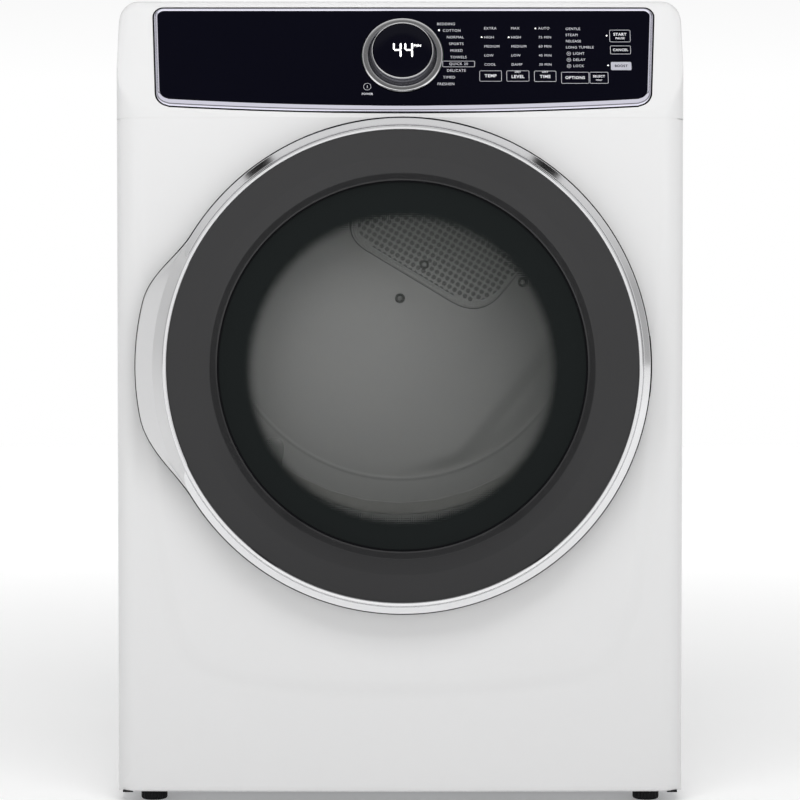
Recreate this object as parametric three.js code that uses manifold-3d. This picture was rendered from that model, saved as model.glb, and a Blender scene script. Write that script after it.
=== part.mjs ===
// Front-loading clothes dryer, in millimetres.
// +Z up, front towards -Y, +X to the right of someone facing the door.
// The origin is under the middle of the machine, at the bottom of its feet.

import * as THREE from 'three';
import { mergeVertices } from 'three/addons/utils/BufferGeometryUtils.js';
import Module from 'manifold-3d';

const wasm = await Module();
wasm.setup();

// ---------------------------------------------------------------- driving dimensions
const sheet = 1.5;              // steel sheet of the cabinet
const gap = 0.3;                // clearance between pieces that touch
const cabinet = { halfWidth: 343, bottom: 12, top: 975, sideFront: -340, back: 386 };
const crown = { front: -366, rise: 4, halfWidth: 318 };
const faceX = 3;                // the door and the console sit a little right of the middle
const shoulder = 24;            // radius of the cabinet's top corners
const topEdge = 940;            // height where the top panel's sides end
const consoleFace = { foldZ: 828.5, tilt: 19.7, x: 4.2, halfWidth: 301.5, low: 5, high: 145, bow: 8.5 };
const consoleCorner = { lower: 15, upper: 12 };
const consoleFlare = 0.058;     // how much wider each side gets per millimetre up the slope
const consoleSlope = 150;       // length of the sloping face, from its fold to its brow
const consoleBack = -300;       // where the console meets the top panel
const door = { z: 530, outer: 298.4, bezelOuter: 286.2, window: 222, front: -406.5, back: -371.6 };
const hinge = { x: faceX + 289.2, y: -382.5, halfHeight: 30, pin: 2.2, knuckle: 5 };
const opening = { radius: 246, sleeve: 240 };
const pocket = { left: -314, right: -286, low: 470, high: 600, floor: -343.5 };
const catchSlot = { left: -268, right: -252, halfHeight: 11 };
const hingeSlot = { left: 285.5, right: 299, halfHeight: 17 };
const bulkhead = { halfWidth: 338, low: 245, high: 935, sheet: 2 };
const drum = { z: 621, radius: 320, wall: 2, front: -296, rear: 328 };
const roller = { radius: 25, width: 20, spread: 35, axle: 5.9, bore: 6.3, frontY: -280, rearY: 313 };
const motor = { x: 150, z: 135, radius: 68, front: -205, rear: -95 };
const pulley = { radius: 14, y: -59 };
const idler = { x: 10, z: 203, radius: 22, pivotX: 85, pivotZ: 215 };
const blower = { radius: 80, inlet: 61, front: -298, rear: -225, wall: 2 };
const exhaust = { x: 0, z: 88, radius: 50, end: 406.5 };
const filter = { halfWidth: 104, y: -316, low: 150, high: 296 };
const inlet = { slope: 31, chord: 36, outer: 230, spread: 118, shoulder: 140, corner: 36 };
const rearWall = 333;           // front face of the rear bulkhead
const frontWall = -303.5;       // front face of the front bulkhead
const foot = { x: 301, frontY: -325, rearY: 340, radius: 16, height: 11.5, stud: 5, top: 46 };

// ---------------------------------------------------------------- geometry helpers
const degrees = THREE.MathUtils.degToRad;
const axisMatrix = {
  X: new THREE.Matrix4().makeBasis(vec(0, 1, 0), vec(0, 0, 1), vec(1, 0, 0)),
  Y: new THREE.Matrix4().makeBasis(vec(1, 0, 0), vec(0, 0, 1), vec(0, 1, 0)),
  Z: new THREE.Matrix4(),
};

function vec(x, y, z) {
  return new THREE.Vector3(x, y, z);
}

// A closed, outward-facing solid made from any closed geometry
function solid(geometry) {
  const bare = geometry.clone();
  bare.deleteAttribute('normal');
  bare.deleteAttribute('uv');
  const merged = mergeVertices(bare, 1e-4);
  const triangles = outwardTriangles(merged);
  const vertProperties = new Float32Array(merged.attributes.position.array);
  return new wasm.Manifold(new wasm.Mesh({ numProp: 3, vertProperties, triVerts: triangles }));
}

function outwardTriangles(geometry) {
  const index = geometry.index.array;
  const position = geometry.attributes.position;
  const kept = [];
  let volume = 0;
  for (let i = 0; i < index.length; i += 3) {
    const [a, b, c] = [index[i], index[i + 1], index[i + 2]];
    if (a === b || b === c || a === c) continue;
    kept.push([a, b, c]);
    const [p, q, r] = [a, b, c].map((k) => new THREE.Vector3().fromBufferAttribute(position, k));
    volume += p.dot(q.cross(r));
  }
  const turned = volume < 0 ? kept.map(([a, b, c]) => [a, c, b]) : kept;
  return new Uint32Array(turned.flat());
}

function toGeometry(body) {
  const mesh = body.getMesh();
  const geometry = new THREE.BufferGeometry();
  geometry.setAttribute('position', new THREE.BufferAttribute(mesh.vertProperties, 3));
  geometry.setIndex(new THREE.BufferAttribute(mesh.triVerts, 1));
  geometry.computeVertexNormals();
  return geometry;
}

// An outline of [u, v] points pushed along an axis: X takes (y, z), Y takes (x, z), Z takes (x, y)
function prism(outline, axis, from, to) {
  const points = outline.map(([u, v]) => new THREE.Vector2(u, v));
  const settings = { depth: to - from, bevelEnabled: false };
  const geometry = new THREE.ExtrudeGeometry(new THREE.Shape(points), settings);
  geometry.translate(0, 0, from);
  return solid(geometry.applyMatrix4(axisMatrix[axis]));
}

// A profile of [radius, height] points turned about an axis through (u, v)
function turned(profile, axis, segments, u = 0, v = 0) {
  const closed = profile[0][0] > 0 ? [...profile, profile[0]] : profile;
  const geometry = new THREE.LatheGeometry(closed.map(([r, h]) => new THREE.Vector2(r, h)), segments);
  geometry.rotateX(Math.PI / 2);
  geometry.applyMatrix4(axisMatrix[axis]);
  const place = { X: [0, u, v], Y: [u, 0, v], Z: [u, v, 0] }[axis];
  geometry.translate(...place);
  return solid(geometry);
}

function disc(radius, axis, from, to, segments, u = 0, v = 0) {
  return turned([[0, from], [radius, from], [radius, to], [0, to]], axis, segments, u, v);
}

function ring(inner, outer, axis, from, to, segments, u = 0, v = 0) {
  return turned([[inner, from], [outer, from], [outer, to], [inner, to]], axis, segments, u, v);
}

function block(x0, x1, y0, y1, z0, z1) {
  const geometry = new THREE.BoxGeometry(x1 - x0, y1 - y0, z1 - z0);
  return solid(geometry.translate((x0 + x1) / 2, (y0 + y1) / 2, (z0 + z1) / 2));
}

function arc(cx, cy, radius, from, to, steps) {
  return Array.from({ length: steps + 1 }, (_, i) => {
    const angle = degrees(from + ((to - from) * i) / steps);
    return [cx + radius * Math.cos(angle), cy + radius * Math.sin(angle)];
  });
}

function union(...bodies) {
  return bodies.reduce((sum, body) => sum.add(body));
}

function cut(body, ...tools) {
  return tools.reduce((rest, tool) => rest.subtract(tool), body);
}

// ---------------------------------------------------------------- materials
const finishes = {
  whiteSteel: [0xe9e9ea, 0.35, 0.0],
  zincSteel: [0xb4b7ba, 0.45, 0.9],
  stainless: [0xc0c2c4, 0.3, 1.0],
  chrome: [0xc8c8d2, 0.12, 1.0],
  darkGloss: [0x3a3b3f, 0.15, 0.0],
  blackGlass: [0x0a0a14, 0.05, 0.0],
  clearGlass: [0x9aa09c, 0.05, 0.0],
  greyPlastic: [0xa9abad, 0.5, 0.0],
  whitePlastic: [0xdcdcdc, 0.45, 0.0],
  blackPlastic: [0x1b1b1d, 0.5, 0.0],
  rubber: [0x141414, 0.85, 0.0],
  felt: [0xd8d4c8, 0.95, 0.0],
  copper: [0x9a6a3a, 0.35, 1.0],
  circuitBoard: [0x1f5a34, 0.6, 0.0],
};

function piece(name, body, finish) {
  const [color, roughness, metalness] = finishes[finish];
  const material = new THREE.MeshStandardMaterial({ color, roughness, metalness });
  const mesh = new THREE.Mesh(body.isBufferGeometry ? body : toGeometry(body), material);
  mesh.name = name;
  return mesh;
}

function at(group, x, y, z) {
  group.position.set(x, y, z);
  return group;
}

function assembly(...children) {
  const group = new THREE.Group();
  group.add(...children);
  return group;
}

// ---------------------------------------------------------------- cabinet
// Plan outline of the softly crowned front, set in by a wall thickness
function crownedPlan(inset, backY) {
  const { front, rise, halfWidth } = crown;
  const edge = cabinet.halfWidth - inset;
  const middle = Array.from({ length: 13 }, (_, i) => {
    const x = halfWidth * (i / 6 - 1);
    return [x, front + inset + rise * (x / halfWidth) ** 2];
  });
  const corner = (side) => [15, 35, 55, 75].map((a) => [
    side * (halfWidth + (edge - halfWidth) * Math.cos(degrees(a))),
    cabinet.sideFront - (cabinet.sideFront - front - rise - inset) * Math.sin(degrees(a)),
  ]);
  const left = [[-edge, backY], [-edge, cabinet.sideFront], ...corner(-1)];
  const right = [...corner(1).reverse(), [edge, cabinet.sideFront], [edge, backY]];
  return [...left, ...middle, ...right];
}

// Front view of the cabinet top, with its rounded shoulders
function shoulderOutline(inset, low) {
  const radius = shoulder - inset;
  const x = cabinet.halfWidth - inset - radius;
  const z = cabinet.top - inset - radius;
  return [
    ...arc(x, z, radius, 0, 90, 6),
    ...arc(-x, z, radius, 90, 180, 6),
    [-x - radius, low],
    [x + radius, low],
  ];
}

function basePan() {
  const [x, front, back, rim, wall] = [338.5, -336, 381, 52, 2];
  const tray = cut(
    block(-x, x, front, back, cabinet.bottom, rim),
    block(-x + wall, x - wall, front + wall, back - wall, cabinet.bottom + wall, rim + 1),
  );
  const threads = footPlaces().map(([fx, fy]) => disc(foot.stud + 0.6, 'Z', 0, 20, 16, fx, fy));
  return cut(tray, ...threads, disc(exhaust.radius + 3, 'Y', back - 5, back + 5, 32, exhaust.x, exhaust.z));
}

function footPlaces() {
  return [foot.frontY, foot.rearY].flatMap((y) => [[-foot.x, y], [foot.x, y]]);
}

function sidePanel(side) {
  const returned = 18;
  const [outer, inner, flange] = [0, sheet, returned].map((inset) => cabinet.halfWidth - inset);
  const [front, back] = [cabinet.sideFront + gap, cabinet.back - 2];
  const channel = [
    [outer, front], [outer, back], [flange, back], [flange, back - sheet],
    [inner, back - sheet], [inner, front + sheet], [flange, front + sheet], [flange, front],
  ];
  const upright = prism(channel.map(([x, y]) => [side * x, y]), 'Z', cabinet.bottom + 0.5, topEdge - 0.5);
  return cut(upright, block(-400, 400, -350, consoleBack, consoleFace.foldZ - gap, topEdge + 10));
}

function backPanel() {
  const { back, halfWidth, bottom } = cabinet;
  const plate = block(-halfWidth + 2, halfWidth - 2, back - sheet - 0.2, back, bottom + 2, topEdge - 1);
  const [lowest, pitch, slotHeight] = [600, 22, 6];
  const louvres = Array.from({ length: 8 }, (_, i) => {
    const reach = 60 + 15 * (i % 2);
    const z = lowest + i * pitch;
    return block(-reach, reach, back - 6, back + 4, z, z + slotHeight);
  });
  return cut(plate, disc(exhaust.radius + 3, 'Y', back - 6, back + 4, 32, exhaust.x, exhaust.z), ...louvres);
}

function topPanel() {
  const outer = prism(shoulderOutline(0, topEdge), 'Y', consoleBack, cabinet.back);
  return cut(outer, prism(shoulderOutline(2, topEdge - 10), 'Y', consoleBack - 10, cabinet.back - 2));
}

function frontPanel() {
  const [low, high, wall] = [13, 828, 2];
  const shell = cut(
    prism(crownedPlan(0, cabinet.sideFront), 'Z', low, high),
    prism(crownedPlan(wall, cabinet.sideFront + 5), 'Z', low + wall, high - wall),
  );
  const { left, right, low: pocketLow, high: pocketHigh, floor } = pocket;
  const recess = block(left - wall, right + wall, -361.5, floor + wall, pocketLow - wall, pocketHigh + wall);
  return cut(
    shell.add(recess),
    block(left, right, -380, floor, pocketLow, pocketHigh),
    disc(opening.radius, 'Y', -380, -330, 48, faceX, door.z),
    slotAtDoorHeight(catchSlot),
    slotAtDoorHeight(hingeSlot),
    disc(5.6, 'Y', -380, -350, 16, ...doorSwitchPlace()),
  );
}

function slotAtDoorHeight({ left, right, halfHeight }) {
  return block(left, right, -380, -350, door.z - halfHeight, door.z + halfHeight);
}

function doorSwitchPlace() {
  const [reach, angle] = [262, degrees(-40)];
  return [faceX + reach * Math.cos(angle), door.z + reach * Math.sin(angle)];
}

// Side view of the slanted console, set in by a wall thickness
function consoleSide(inset, low, backY) {
  const [along, up] = [Math.sin(degrees(consoleFace.tilt)), Math.cos(degrees(consoleFace.tilt))];
  const y = (s) => crown.front + s * along + inset * up;
  const z = (s) => consoleFace.foldZ + s * up - inset * along;
  const drop = (z(0) - low) / up;
  const [browY, topZ] = [y(consoleSlope), cabinet.top - inset];
  const brow = [[browY, z(consoleSlope)], [browY + 3.5, topZ - 1.2], [browY + 8, topZ]];
  return [[y(-drop), low], ...brow, [backY, topZ], [backY, low]];
}

function consoleShape(inset, low, backY) {
  const plan = prism(crownedPlan(inset, backY), 'Z', low, cabinet.top + 5);
  const side = prism(consoleSide(inset, low, backY), 'X', -400, 400);
  const front = prism(shoulderOutline(inset, low), 'Y', -420, backY);
  return plan.intersect(side).intersect(front);
}

function consoleFrame() {
  const wall = 2.5;
  const outside = consoleShape(0, consoleFace.foldZ, consoleBack - gap);
  const inside = consoleShape(wall, consoleFace.foldZ - 10, consoleBack + 10);
  return cut(outside, inside, onConsole(prism(consoleOutline(1), 'Z', -40, 40)));
}

// ---------------------------------------------------------------- console, in its own slanted plane
const consolePlane = new THREE.Matrix4()
  .makeTranslation(faceX, crown.front, consoleFace.foldZ)
  .multiply(new THREE.Matrix4().makeRotationX(degrees(90 - consoleFace.tilt)));

function onConsole(body) {
  return solid(toGeometry(body).applyMatrix4(consolePlane));
}

// Wide outline with rounded corners, a bowed lower edge and sides that spread upwards,
// grown by an offset
function consoleOutline(grow) {
  const { x, halfWidth, low, high, bow } = consoleFace;
  const [width, middle] = [halfWidth + grow, (low + high) / 2];
  const [lowerRadius, upperRadius] = [consoleCorner.lower + grow, consoleCorner.upper + grow];
  const lower = Array.from({ length: 11 }, (_, i) => {
    const u = (width - lowerRadius) * (i / 5 - 1);
    return [u, low - grow + bow * (u / width) ** 2];
  });
  const [base, crest] = [low - grow + bow + lowerRadius, high + grow - upperRadius];
  const upright = [
    ...lower,
    ...arc(width - lowerRadius, base, lowerRadius, -75, 0, 4),
    ...arc(width - upperRadius, crest, upperRadius, 0, 90, 4),
    ...arc(-width + upperRadius, crest, upperRadius, 90, 180, 4),
    ...arc(-width + lowerRadius, base, lowerRadius, 180, 255, 4),
  ];
  const shift = x - faceX;
  return upright.map(([u, v]) => [u * (1 + consoleFlare * (v - middle) / halfWidth) + shift, v]);
}

const dialCentre = [0, 82.5];
const dialRadius = 49.2;
const lensRadius = 35.2;

function consoleBezel() {
  const [width, back, proud] = [5.5, -8, 1.5];
  const band = cut(
    prism(consoleOutline(0), 'Z', back, proud),
    prism(consoleOutline(-width), 'Z', back - 10, proud + 10),
  );
  return onConsole(band);
}

function consoleGlass() {
  const hole = disc(dialRadius + 0.8, 'Z', -20, 10, 48, ...dialCentre);
  return onConsole(cut(prism(consoleOutline(-5.8), 'Z', -4, 0.2), hole));
}

function consoleHousing() {
  const [x, low, high, depth, wall] = [290, 20, 126, -18.5, 2];
  return onConsole(cut(
    block(-x, x, low, high, depth, -8.4),
    block(-x + wall, x - wall, low + wall, high - wall, depth + wall, 0),
  ));
}

function controlBoard() {
  const board = block(-270, 270, 26, 120, -14, -12.4);
  const parts = [-220, -150, 120, 190].map((x) => block(x, x + 30, 50, 80, -13, -9));
  return onConsole(union(board, ...parts));
}

function displayLens() {
  const stem = [[0, -12], [30, -12], [30, -4], [lensRadius, -3.5]];
  const face = [[lensRadius, 13], [lensRadius - 1.7, 14.4], [0, 14.8]];
  return onConsole(turned([...stem, ...face], 'Z', 40, ...dialCentre));
}

function dialRing() {
  const bore = lensRadius + 0.7;
  return turned([
    [bore, -3], [dialRadius, -3], [dialRadius, 1.5], [47.5, 3.2], [42, 3.2],
    [40.4, 2.2], [38.9, 4], [37.7, 13], [36.9, 14], [bore, 14],
  ], 'Z', 36);
}

function dial() {
  const group = assembly(piece('dial_ring', dialRing(), 'chrome'));
  group.applyMatrix4(consolePlane.clone().multiply(new THREE.Matrix4().makeTranslation(...dialCentre, 0)));
  return group;
}

// ---------------------------------------------------------------- door, about its own centre
const ear = { start: 148, end: 212, rise: 22.2, front: -395, back: -383 };

// Height of the handle ear beyond the ring, at an angle counted from +X
function earRise(angle) {
  const smooth = (t) => t * t * (3 - 2 * t);
  const clamp = (t) => Math.min(1, Math.max(0, t));
  const entry = smooth(clamp((angle - ear.start) / 18));
  const exit = smooth(clamp((ear.end - angle) / 21));
  return ear.rise * entry * exit;
}

function handleEar() {
  const outer = Array.from({ length: 33 }, (_, i) => {
    const angle = ear.start + (ear.end - ear.start) * (i / 32);
    const radius = door.outer - 0.5 + earRise(angle);
    return [radius * Math.cos(degrees(angle)), radius * Math.sin(degrees(angle))];
  });
  return prism([...outer, ...arc(0, 0, door.outer - 6, ear.end, ear.start, 16)], 'Y', ear.front, ear.back);
}

function hingeNotch() {
  const h = hinge.halfHeight;
  return block(276, 320, -390.5, -360, -h, h);
}

function doorTrimRing() {
  const o = door.outer;
  const outside = [
    [o - 11.8, -399.5], [o - 10.1, -401], [o - 7.9, -400.6], [o - 1.9, -396], [o, -392], [o, door.back],
  ];
  const inside = [
    [o - 2.4, door.back], [o - 2.4, -391.2], [o - 3.9, -393.8], [o - 8.4, -397.2], [o - 9.4, -397.2],
    [o - 9.4, door.back],
  ];
  const band = turned([[o - 11.8, door.back], ...outside, ...inside], 'Y', 48);
  return cut(union(band, handleEar()), hingeNotch());
}

function doorBezel() {
  const [w, o] = [door.window, door.bezelOuter];
  const shell = turned([
    [w, -378], [w, -384], [o - 6.2, -403.5], [o - 4.6, door.front], [o - 0.6, door.front], [o, -404],
    [o, -378], [o - 3.2, -378], [o - 3.2, -400.5], [o - 9.2, -399.8], [w + 5, -382.5], [w + 5, -378],
  ], 'Y', 48);
  return cut(shell, hingeNotch());
}

function doorGlass() {
  const r = door.window - 0.6;
  return turned([[0, -384], [r / 2, -383.1], [r, -380.4], [r, -376.4], [r / 2, -379.1], [0, -380]], 'Y', 48);
}

function doorInnerPanel() {
  const [inner, front, back] = [205, -375.6, -372];
  const plate = ring(inner, door.bezelOuter, 'Y', front, back, 48);
  return cut(plate, block(267, 300, -390, -360, -hinge.halfHeight, hinge.halfHeight));
}

function doorBowl() {
  return turned([
    [0, -335], [150, -335], [178, -346], [192, -371.2], [204, -371.2], [204, -375.3],
    [188.5, -375.3], [174.5, -349.5], [149, -339], [0, -339],
  ], 'Y', 36);
}

function doorStrike() {
  const hook = [[-371.7, -7], [-371.7, 7], [-345, 7], [-345, 1], [-351, -1], [-353, -7]];
  return prism(hook, 'X', -265, -259);
}

const leafCentre = hinge.x - faceX;

function hingeLeaf() {
  const [inner, outer, front, back] = [14.5, 26.5, -385, -381];
  const knuckleSpans = [[-outer, -inner], [inner, outer]];
  const plate = block(247.5, 278, front, back, -outer, outer);
  const arms = knuckleSpans.map(([low, high]) => block(277, leafCentre, front, back, low, high));
  const knuckles = knuckleSpans.map(([low, high]) => (
    disc(hinge.knuckle, 'Z', low, high, 16, leafCentre, hinge.y)
  ));
  const bore = disc(hinge.pin + 0.4, 'Z', -40, 40, 12, leafCentre, hinge.y);
  return cut(union(plate, ...arms, ...knuckles), bore);
}

function doorAssembly() {
  return at(assembly(
    piece('door_trim_ring', doorTrimRing(), 'chrome'),
    piece('door_bezel', doorBezel(), 'darkGloss'),
    piece('door_glass', doorGlass(), 'clearGlass'),
    piece('door_inner_panel', doorInnerPanel(), 'whitePlastic'),
    piece('door_bowl', doorBowl(), 'clearGlass'),
    piece('door_seal', ring(247, 255, 'Y', -371.7, -367, 36), 'rubber'),
    piece('door_strike', doorStrike(), 'stainless'),
    piece('hinge_leaf', hingeLeaf(), 'zincSteel'),
  ), faceX, 0, door.z);
}

function hingeBracket() {
  const [front, back, halfPlate, halfKnuckle, halfPin] = [-355.5, -352.5, 50, 14, 27];
  const plate = block(262, 300, front, back, door.z - halfPlate, door.z + halfPlate);
  const [low, high] = [door.z - halfKnuckle, door.z + halfKnuckle];
  const arm = block(hinge.x - 3.5, hinge.x + 3.5, hinge.y, back, low, high);
  const knuckle = disc(hinge.knuckle, 'Z', low, high, 16, hinge.x, hinge.y);
  const pin = disc(hinge.pin, 'Z', door.z - halfPin, door.z + halfPin, 12, hinge.x, hinge.y);
  return union(plate, arm, knuckle, pin);
}

function doorCatch() {
  const { left, right, halfHeight } = catchSlot;
  const [side, cap] = [halfHeight + 7, 7];
  return cut(
    block(left - cap - 1, right + cap - 1, -359.5, -332, door.z - side, door.z + side),
    block(left, right, -370, -340, door.z - halfHeight, door.z + halfHeight),
  );
}

function doorSwitchButton() {
  const cap = [[0, -371.7], [4, -371.7], [5, -370.7], [5, -356]];
  const flange = [[7, -356], [7, -354], [3, -354]];
  return turned([...cap, ...flange, [3, -346], [0, -346]], 'Y', 16, ...doorSwitchPlace());
}

// ---------------------------------------------------------------- bulkheads and drum
function rollerPlaces() {
  const reach = drum.radius + drum.wall + roller.radius + gap;
  const dx = reach * Math.sin(degrees(roller.spread));
  const z = drum.z - reach * Math.cos(degrees(roller.spread));
  return [[-dx, z], [dx, z]];
}

function bulkheadPlate(front) {
  const { halfWidth, low, high } = bulkhead;
  return block(-halfWidth, halfWidth, front, front + bulkhead.sheet, low, high);
}

function rollerAxles(from, to) {
  return rollerPlaces().map(([x, z]) => disc(roller.axle, 'Y', from, to, 16, x, z));
}

function frontBulkhead() {
  const reach = filter.halfWidth + 8;
  const plate = bulkheadPlate(frontWall);
  const sleeve = disc(opening.sleeve + 3, 'Y', -352, frontWall + bulkhead.sheet, 48, faceX, door.z);
  const mouth = disc(opening.sleeve, 'Y', -360, -290, 48, faceX, door.z);
  const slot = block(-reach, reach, filter.y - 10, filter.y + 10, 240, 330);
  const axles = rollerAxles(frontWall + 1, roller.frontY + 14);
  return cut(union(plate, sleeve, ...axles), mouth, slot);
}

// Fan-shaped outline of the warm-air inlet: a slanted straight edge, round corners and an outer arc
function inletOutline(grow) {
  const { slope, shoulder: side, corner } = inlet;
  const [chord, outer, spread] = [inlet.chord - grow, inlet.outer + grow, inlet.spread + grow];
  const shape = new THREE.Shape();
  const reach = Math.sqrt(outer ** 2 - side ** 2);
  shape.moveTo(-spread + corner, chord);
  shape.lineTo(spread - corner, chord);
  shape.quadraticCurveTo(spread - 4, chord, spread, chord + corner);
  shape.lineTo(side, reach);
  shape.absarc(0, 0, outer, Math.atan2(reach, side), Math.atan2(reach, -side), false);
  shape.lineTo(-spread, chord + corner);
  shape.quadraticCurveTo(-spread + 4, chord, -spread + corner, chord);
  const turn = new THREE.Vector2();
  return shape.getPoints(6).slice(0, -1).map((p) => {
    turn.copy(p).rotateAround(new THREE.Vector2(), -degrees(slope));
    return [turn.x, turn.y + drum.z];
  });
}

function rearBulkhead() {
  const axles = rollerAxles(roller.rearY - 14, rearWall + 1);
  return cut(union(bulkheadPlate(rearWall), ...axles), prism(inletOutline(-6), 'Y', 320, 345));
}

function inletGrille() {
  const plate = prism(inletOutline(0), 'Y', rearWall - 1.8, rearWall - 0.3);
  const [width, thickness, first, pitch] = [176, 8, 54, 20];
  const slots = Array.from({ length: 8 }, (_, i) => {
    const geometry = new THREE.BoxGeometry(width, 20, thickness);
    geometry.translate(0, rearWall, first + i * pitch).rotateY(degrees(inlet.slope));
    return solid(geometry.translate(0, 0, drum.z));
  });
  return cut(plate, ...slots);
}

function heaterHousing() {
  return cut(
    prism(inletOutline(8), 'Y', rearWall + 2.3, 380),
    prism(inletOutline(5.5), 'Y', rearWall, 378),
    block(-40, 40, 370, 390, 700, 780),
  );
}

// One resistance wire bent back and forth across the heater housing
function heatingElement() {
  const [turns, reach, first, pitch] = [7, 85, 62, 22];
  const points = Array.from({ length: turns * 2 }, (_, i) => {
    const row = Math.floor(i / 2);
    const side = (i % 2 === 0) === (row % 2 === 0) ? -1 : 1;
    return vec(side * reach, rearWall + 25, first + row * pitch);
  });
  const smooth = new THREE.CatmullRomCurve3(points, false, 'catmullrom', 0.15);
  const section = new THREE.Shape(arc(0, 0, 3, 0, 300, 5).map(([u, v]) => new THREE.Vector2(u, v)));
  const settings = { extrudePath: smooth, steps: 42, bevelEnabled: false };
  const geometry = new THREE.ExtrudeGeometry(section, settings);
  return solid(geometry.rotateY(degrees(inlet.slope)).translate(0, 0, drum.z));
}

function drumBaffle() {
  const [reach, height, halfSpread, tipRadius] = [drum.radius - 0.9, 52, 8, 14];
  const base = arc(0, 0, reach, -90 - halfSpread, -90 + halfSpread, 6);
  const tip = arc(0, -reach + height, tipRadius, 20, 160, 6);
  return prism([...base, ...tip], 'Y', -255, 300);
}

function drumShell() {
  return ring(drum.radius, drum.radius + drum.wall, 'Y', drum.front, drum.rear, 72);
}

function drumAssembly() {
  const baffles = [40, 160, 280].map((angle, i) => {
    const baffle = piece(`drum_baffle_${i + 1}`, drumBaffle(), 'whitePlastic');
    baffle.rotation.y = degrees(angle);
    return baffle;
  });
  return at(assembly(piece('drum_shell', drumShell(), 'stainless'), ...baffles), 0, 0, drum.z);
}

function drumSeal(from, to) {
  return ring(304, drum.radius + 1, 'Y', from, to, 36, 0, drum.z);
}

function rollers() {
  const { radius, bore } = roller;
  const [half, chamfer] = [roller.width / 2, 4];
  const profile = [
    [bore, -half], [radius - chamfer, -half], [radius, -half + 3],
    [radius, half - 3], [radius - chamfer, half], [bore, half],
  ];
  const tyre = toGeometry(turned(profile, 'Y', 20));
  const rows = [['front', roller.frontY], ['rear', roller.rearY]];
  const sides = ['left', 'right'];
  return rows.flatMap(([row, y]) => rollerPlaces().map(([x, z], i) => (
    at(piece(`${row}_${sides[i]}_roller`, tyre, 'blackPlastic'), x, y, z)
  )));
}

// ---------------------------------------------------------------- drive
// The loop that a belt makes round circles, given anticlockwise, at a distance from them
function beltLoop(circles, distance) {
  const next = (i) => (i + 1) % circles.length;
  const leaving = circles.map((a, i) => {
    const b = circles[next(i)];
    const [dx, dz] = [b.x - a.x, b.z - a.z];
    const turn = Math.acos((a.radius - b.radius) / Math.hypot(dx, dz));
    return THREE.MathUtils.radToDeg(Math.atan2(dz, dx) - turn);
  });
  return circles.flatMap((c, i) => {
    const start = leaving[(i + circles.length - 1) % circles.length];
    const sweep = (((leaving[i] - start) % 360) + 360) % 360;
    return arc(c.x, c.z, c.radius + distance, start, start + sweep, Math.ceil(sweep / 5) + 1);
  });
}

function drumBelt() {
  const circles = [
    { x: 0, z: drum.z, radius: drum.radius + drum.wall },
    { x: idler.x, z: idler.z, radius: idler.radius },
    { x: motor.x, z: motor.z, radius: pulley.radius },
  ];
  const outer = prism(beltLoop(circles, 2.7), 'Y', pulley.y - 4, pulley.y + 4);
  return cut(outer, prism(beltLoop(circles, 0.7), 'Y', pulley.y - 10, pulley.y + 10));
}

function motorHousing() {
  const { front, rear, radius } = motor;
  const [bore, face, taper] = [9, 40, 16];
  const can = [[face, front], [radius, front + taper], [radius, rear - taper], [face, rear]];
  return turned([[bore, front], ...can, [bore, rear]], 'Y', 24, motor.x, motor.z);
}

function motorBracket() {
  const floor = cabinet.bottom + 2 + gap;
  const plate = block(75, 225, -200, -37, floor, floor + 3);
  const saddles = [-185, -125].map((y) => block(88, 212, y, y + 12, floor, 110));
  const upright = block(62, 108, -40, -37, floor, 232);
  const pivot = disc(5, 'Y', -50, -38, 16, idler.pivotX, idler.pivotZ);
  const peg = disc(2, 'Y', -46, -38, 8, 70, 118);
  const body = union(plate, ...saddles, upright, pivot, peg);
  return cut(body, disc(motor.radius + 0.6, 'Y', -220, -90, 48, motor.x, motor.z));
}

function motorShaft() {
  const { y, radius } = pulley;
  return turned([
    [0, -292], [7, -292], [7, y - 9], [radius + 2, y - 9], [radius + 2, y - 6.5], [radius, y - 5],
    [radius, y + 5], [radius + 2, y + 6.5], [radius + 2, y + 9], [0, y + 9],
  ], 'Y', 24);
}

function blowerWheel() {
  const { radius } = blower;
  const hub = ring(7.3, 22, 'Y', -290, -242, 16);
  const plate = ring(7.3, radius, 'Y', -242, -238, 24);
  const rim = ring(radius - 5, radius, 'Y', -290, -285, 24);
  const blades = Array.from({ length: 12 }, (_, i) => {
    const geometry = new THREE.BoxGeometry(24, 48, 3).translate(radius - 14, -264, 0);
    return solid(geometry.rotateY(degrees(i * 30)));
  });
  return union(hub, plate, rim, ...blades);
}

function rotor() {
  const wheel = piece('blower_wheel', blowerWheel(), 'greyPlastic');
  return at(assembly(piece('motor_shaft', motorShaft(), 'stainless'), wheel), motor.x, 0, motor.z);
}

function idlerArm() {
  const { x, z, pivotX, pivotZ } = idler;
  const outline = [...arc(pivotX, pivotZ, 11, -70, 90, 6), ...arc(x, z, 11, 90, 290, 6)];
  const bar = prism(outline, 'Y', -47.5, -43.5);
  const axle = disc(4, 'Y', -70, -45, 16, x, z);
  const tab = block(48, 58, -47.5, -43.5, 194, 208);
  return cut(union(bar, axle, tab), disc(5.5, 'Y', -60, -30, 16, pivotX, pivotZ));
}

function idlerPulley() {
  const r = idler.radius;
  const bore = 4.4;
  const groove = [[r + 2, -6], [r, -5], [r, 5], [r + 2, 6]];
  return turned([[bore, -9], [r + 2, -9], ...groove, [r + 2, 9], [bore, 9]], 'Y', 20);
}

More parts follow.
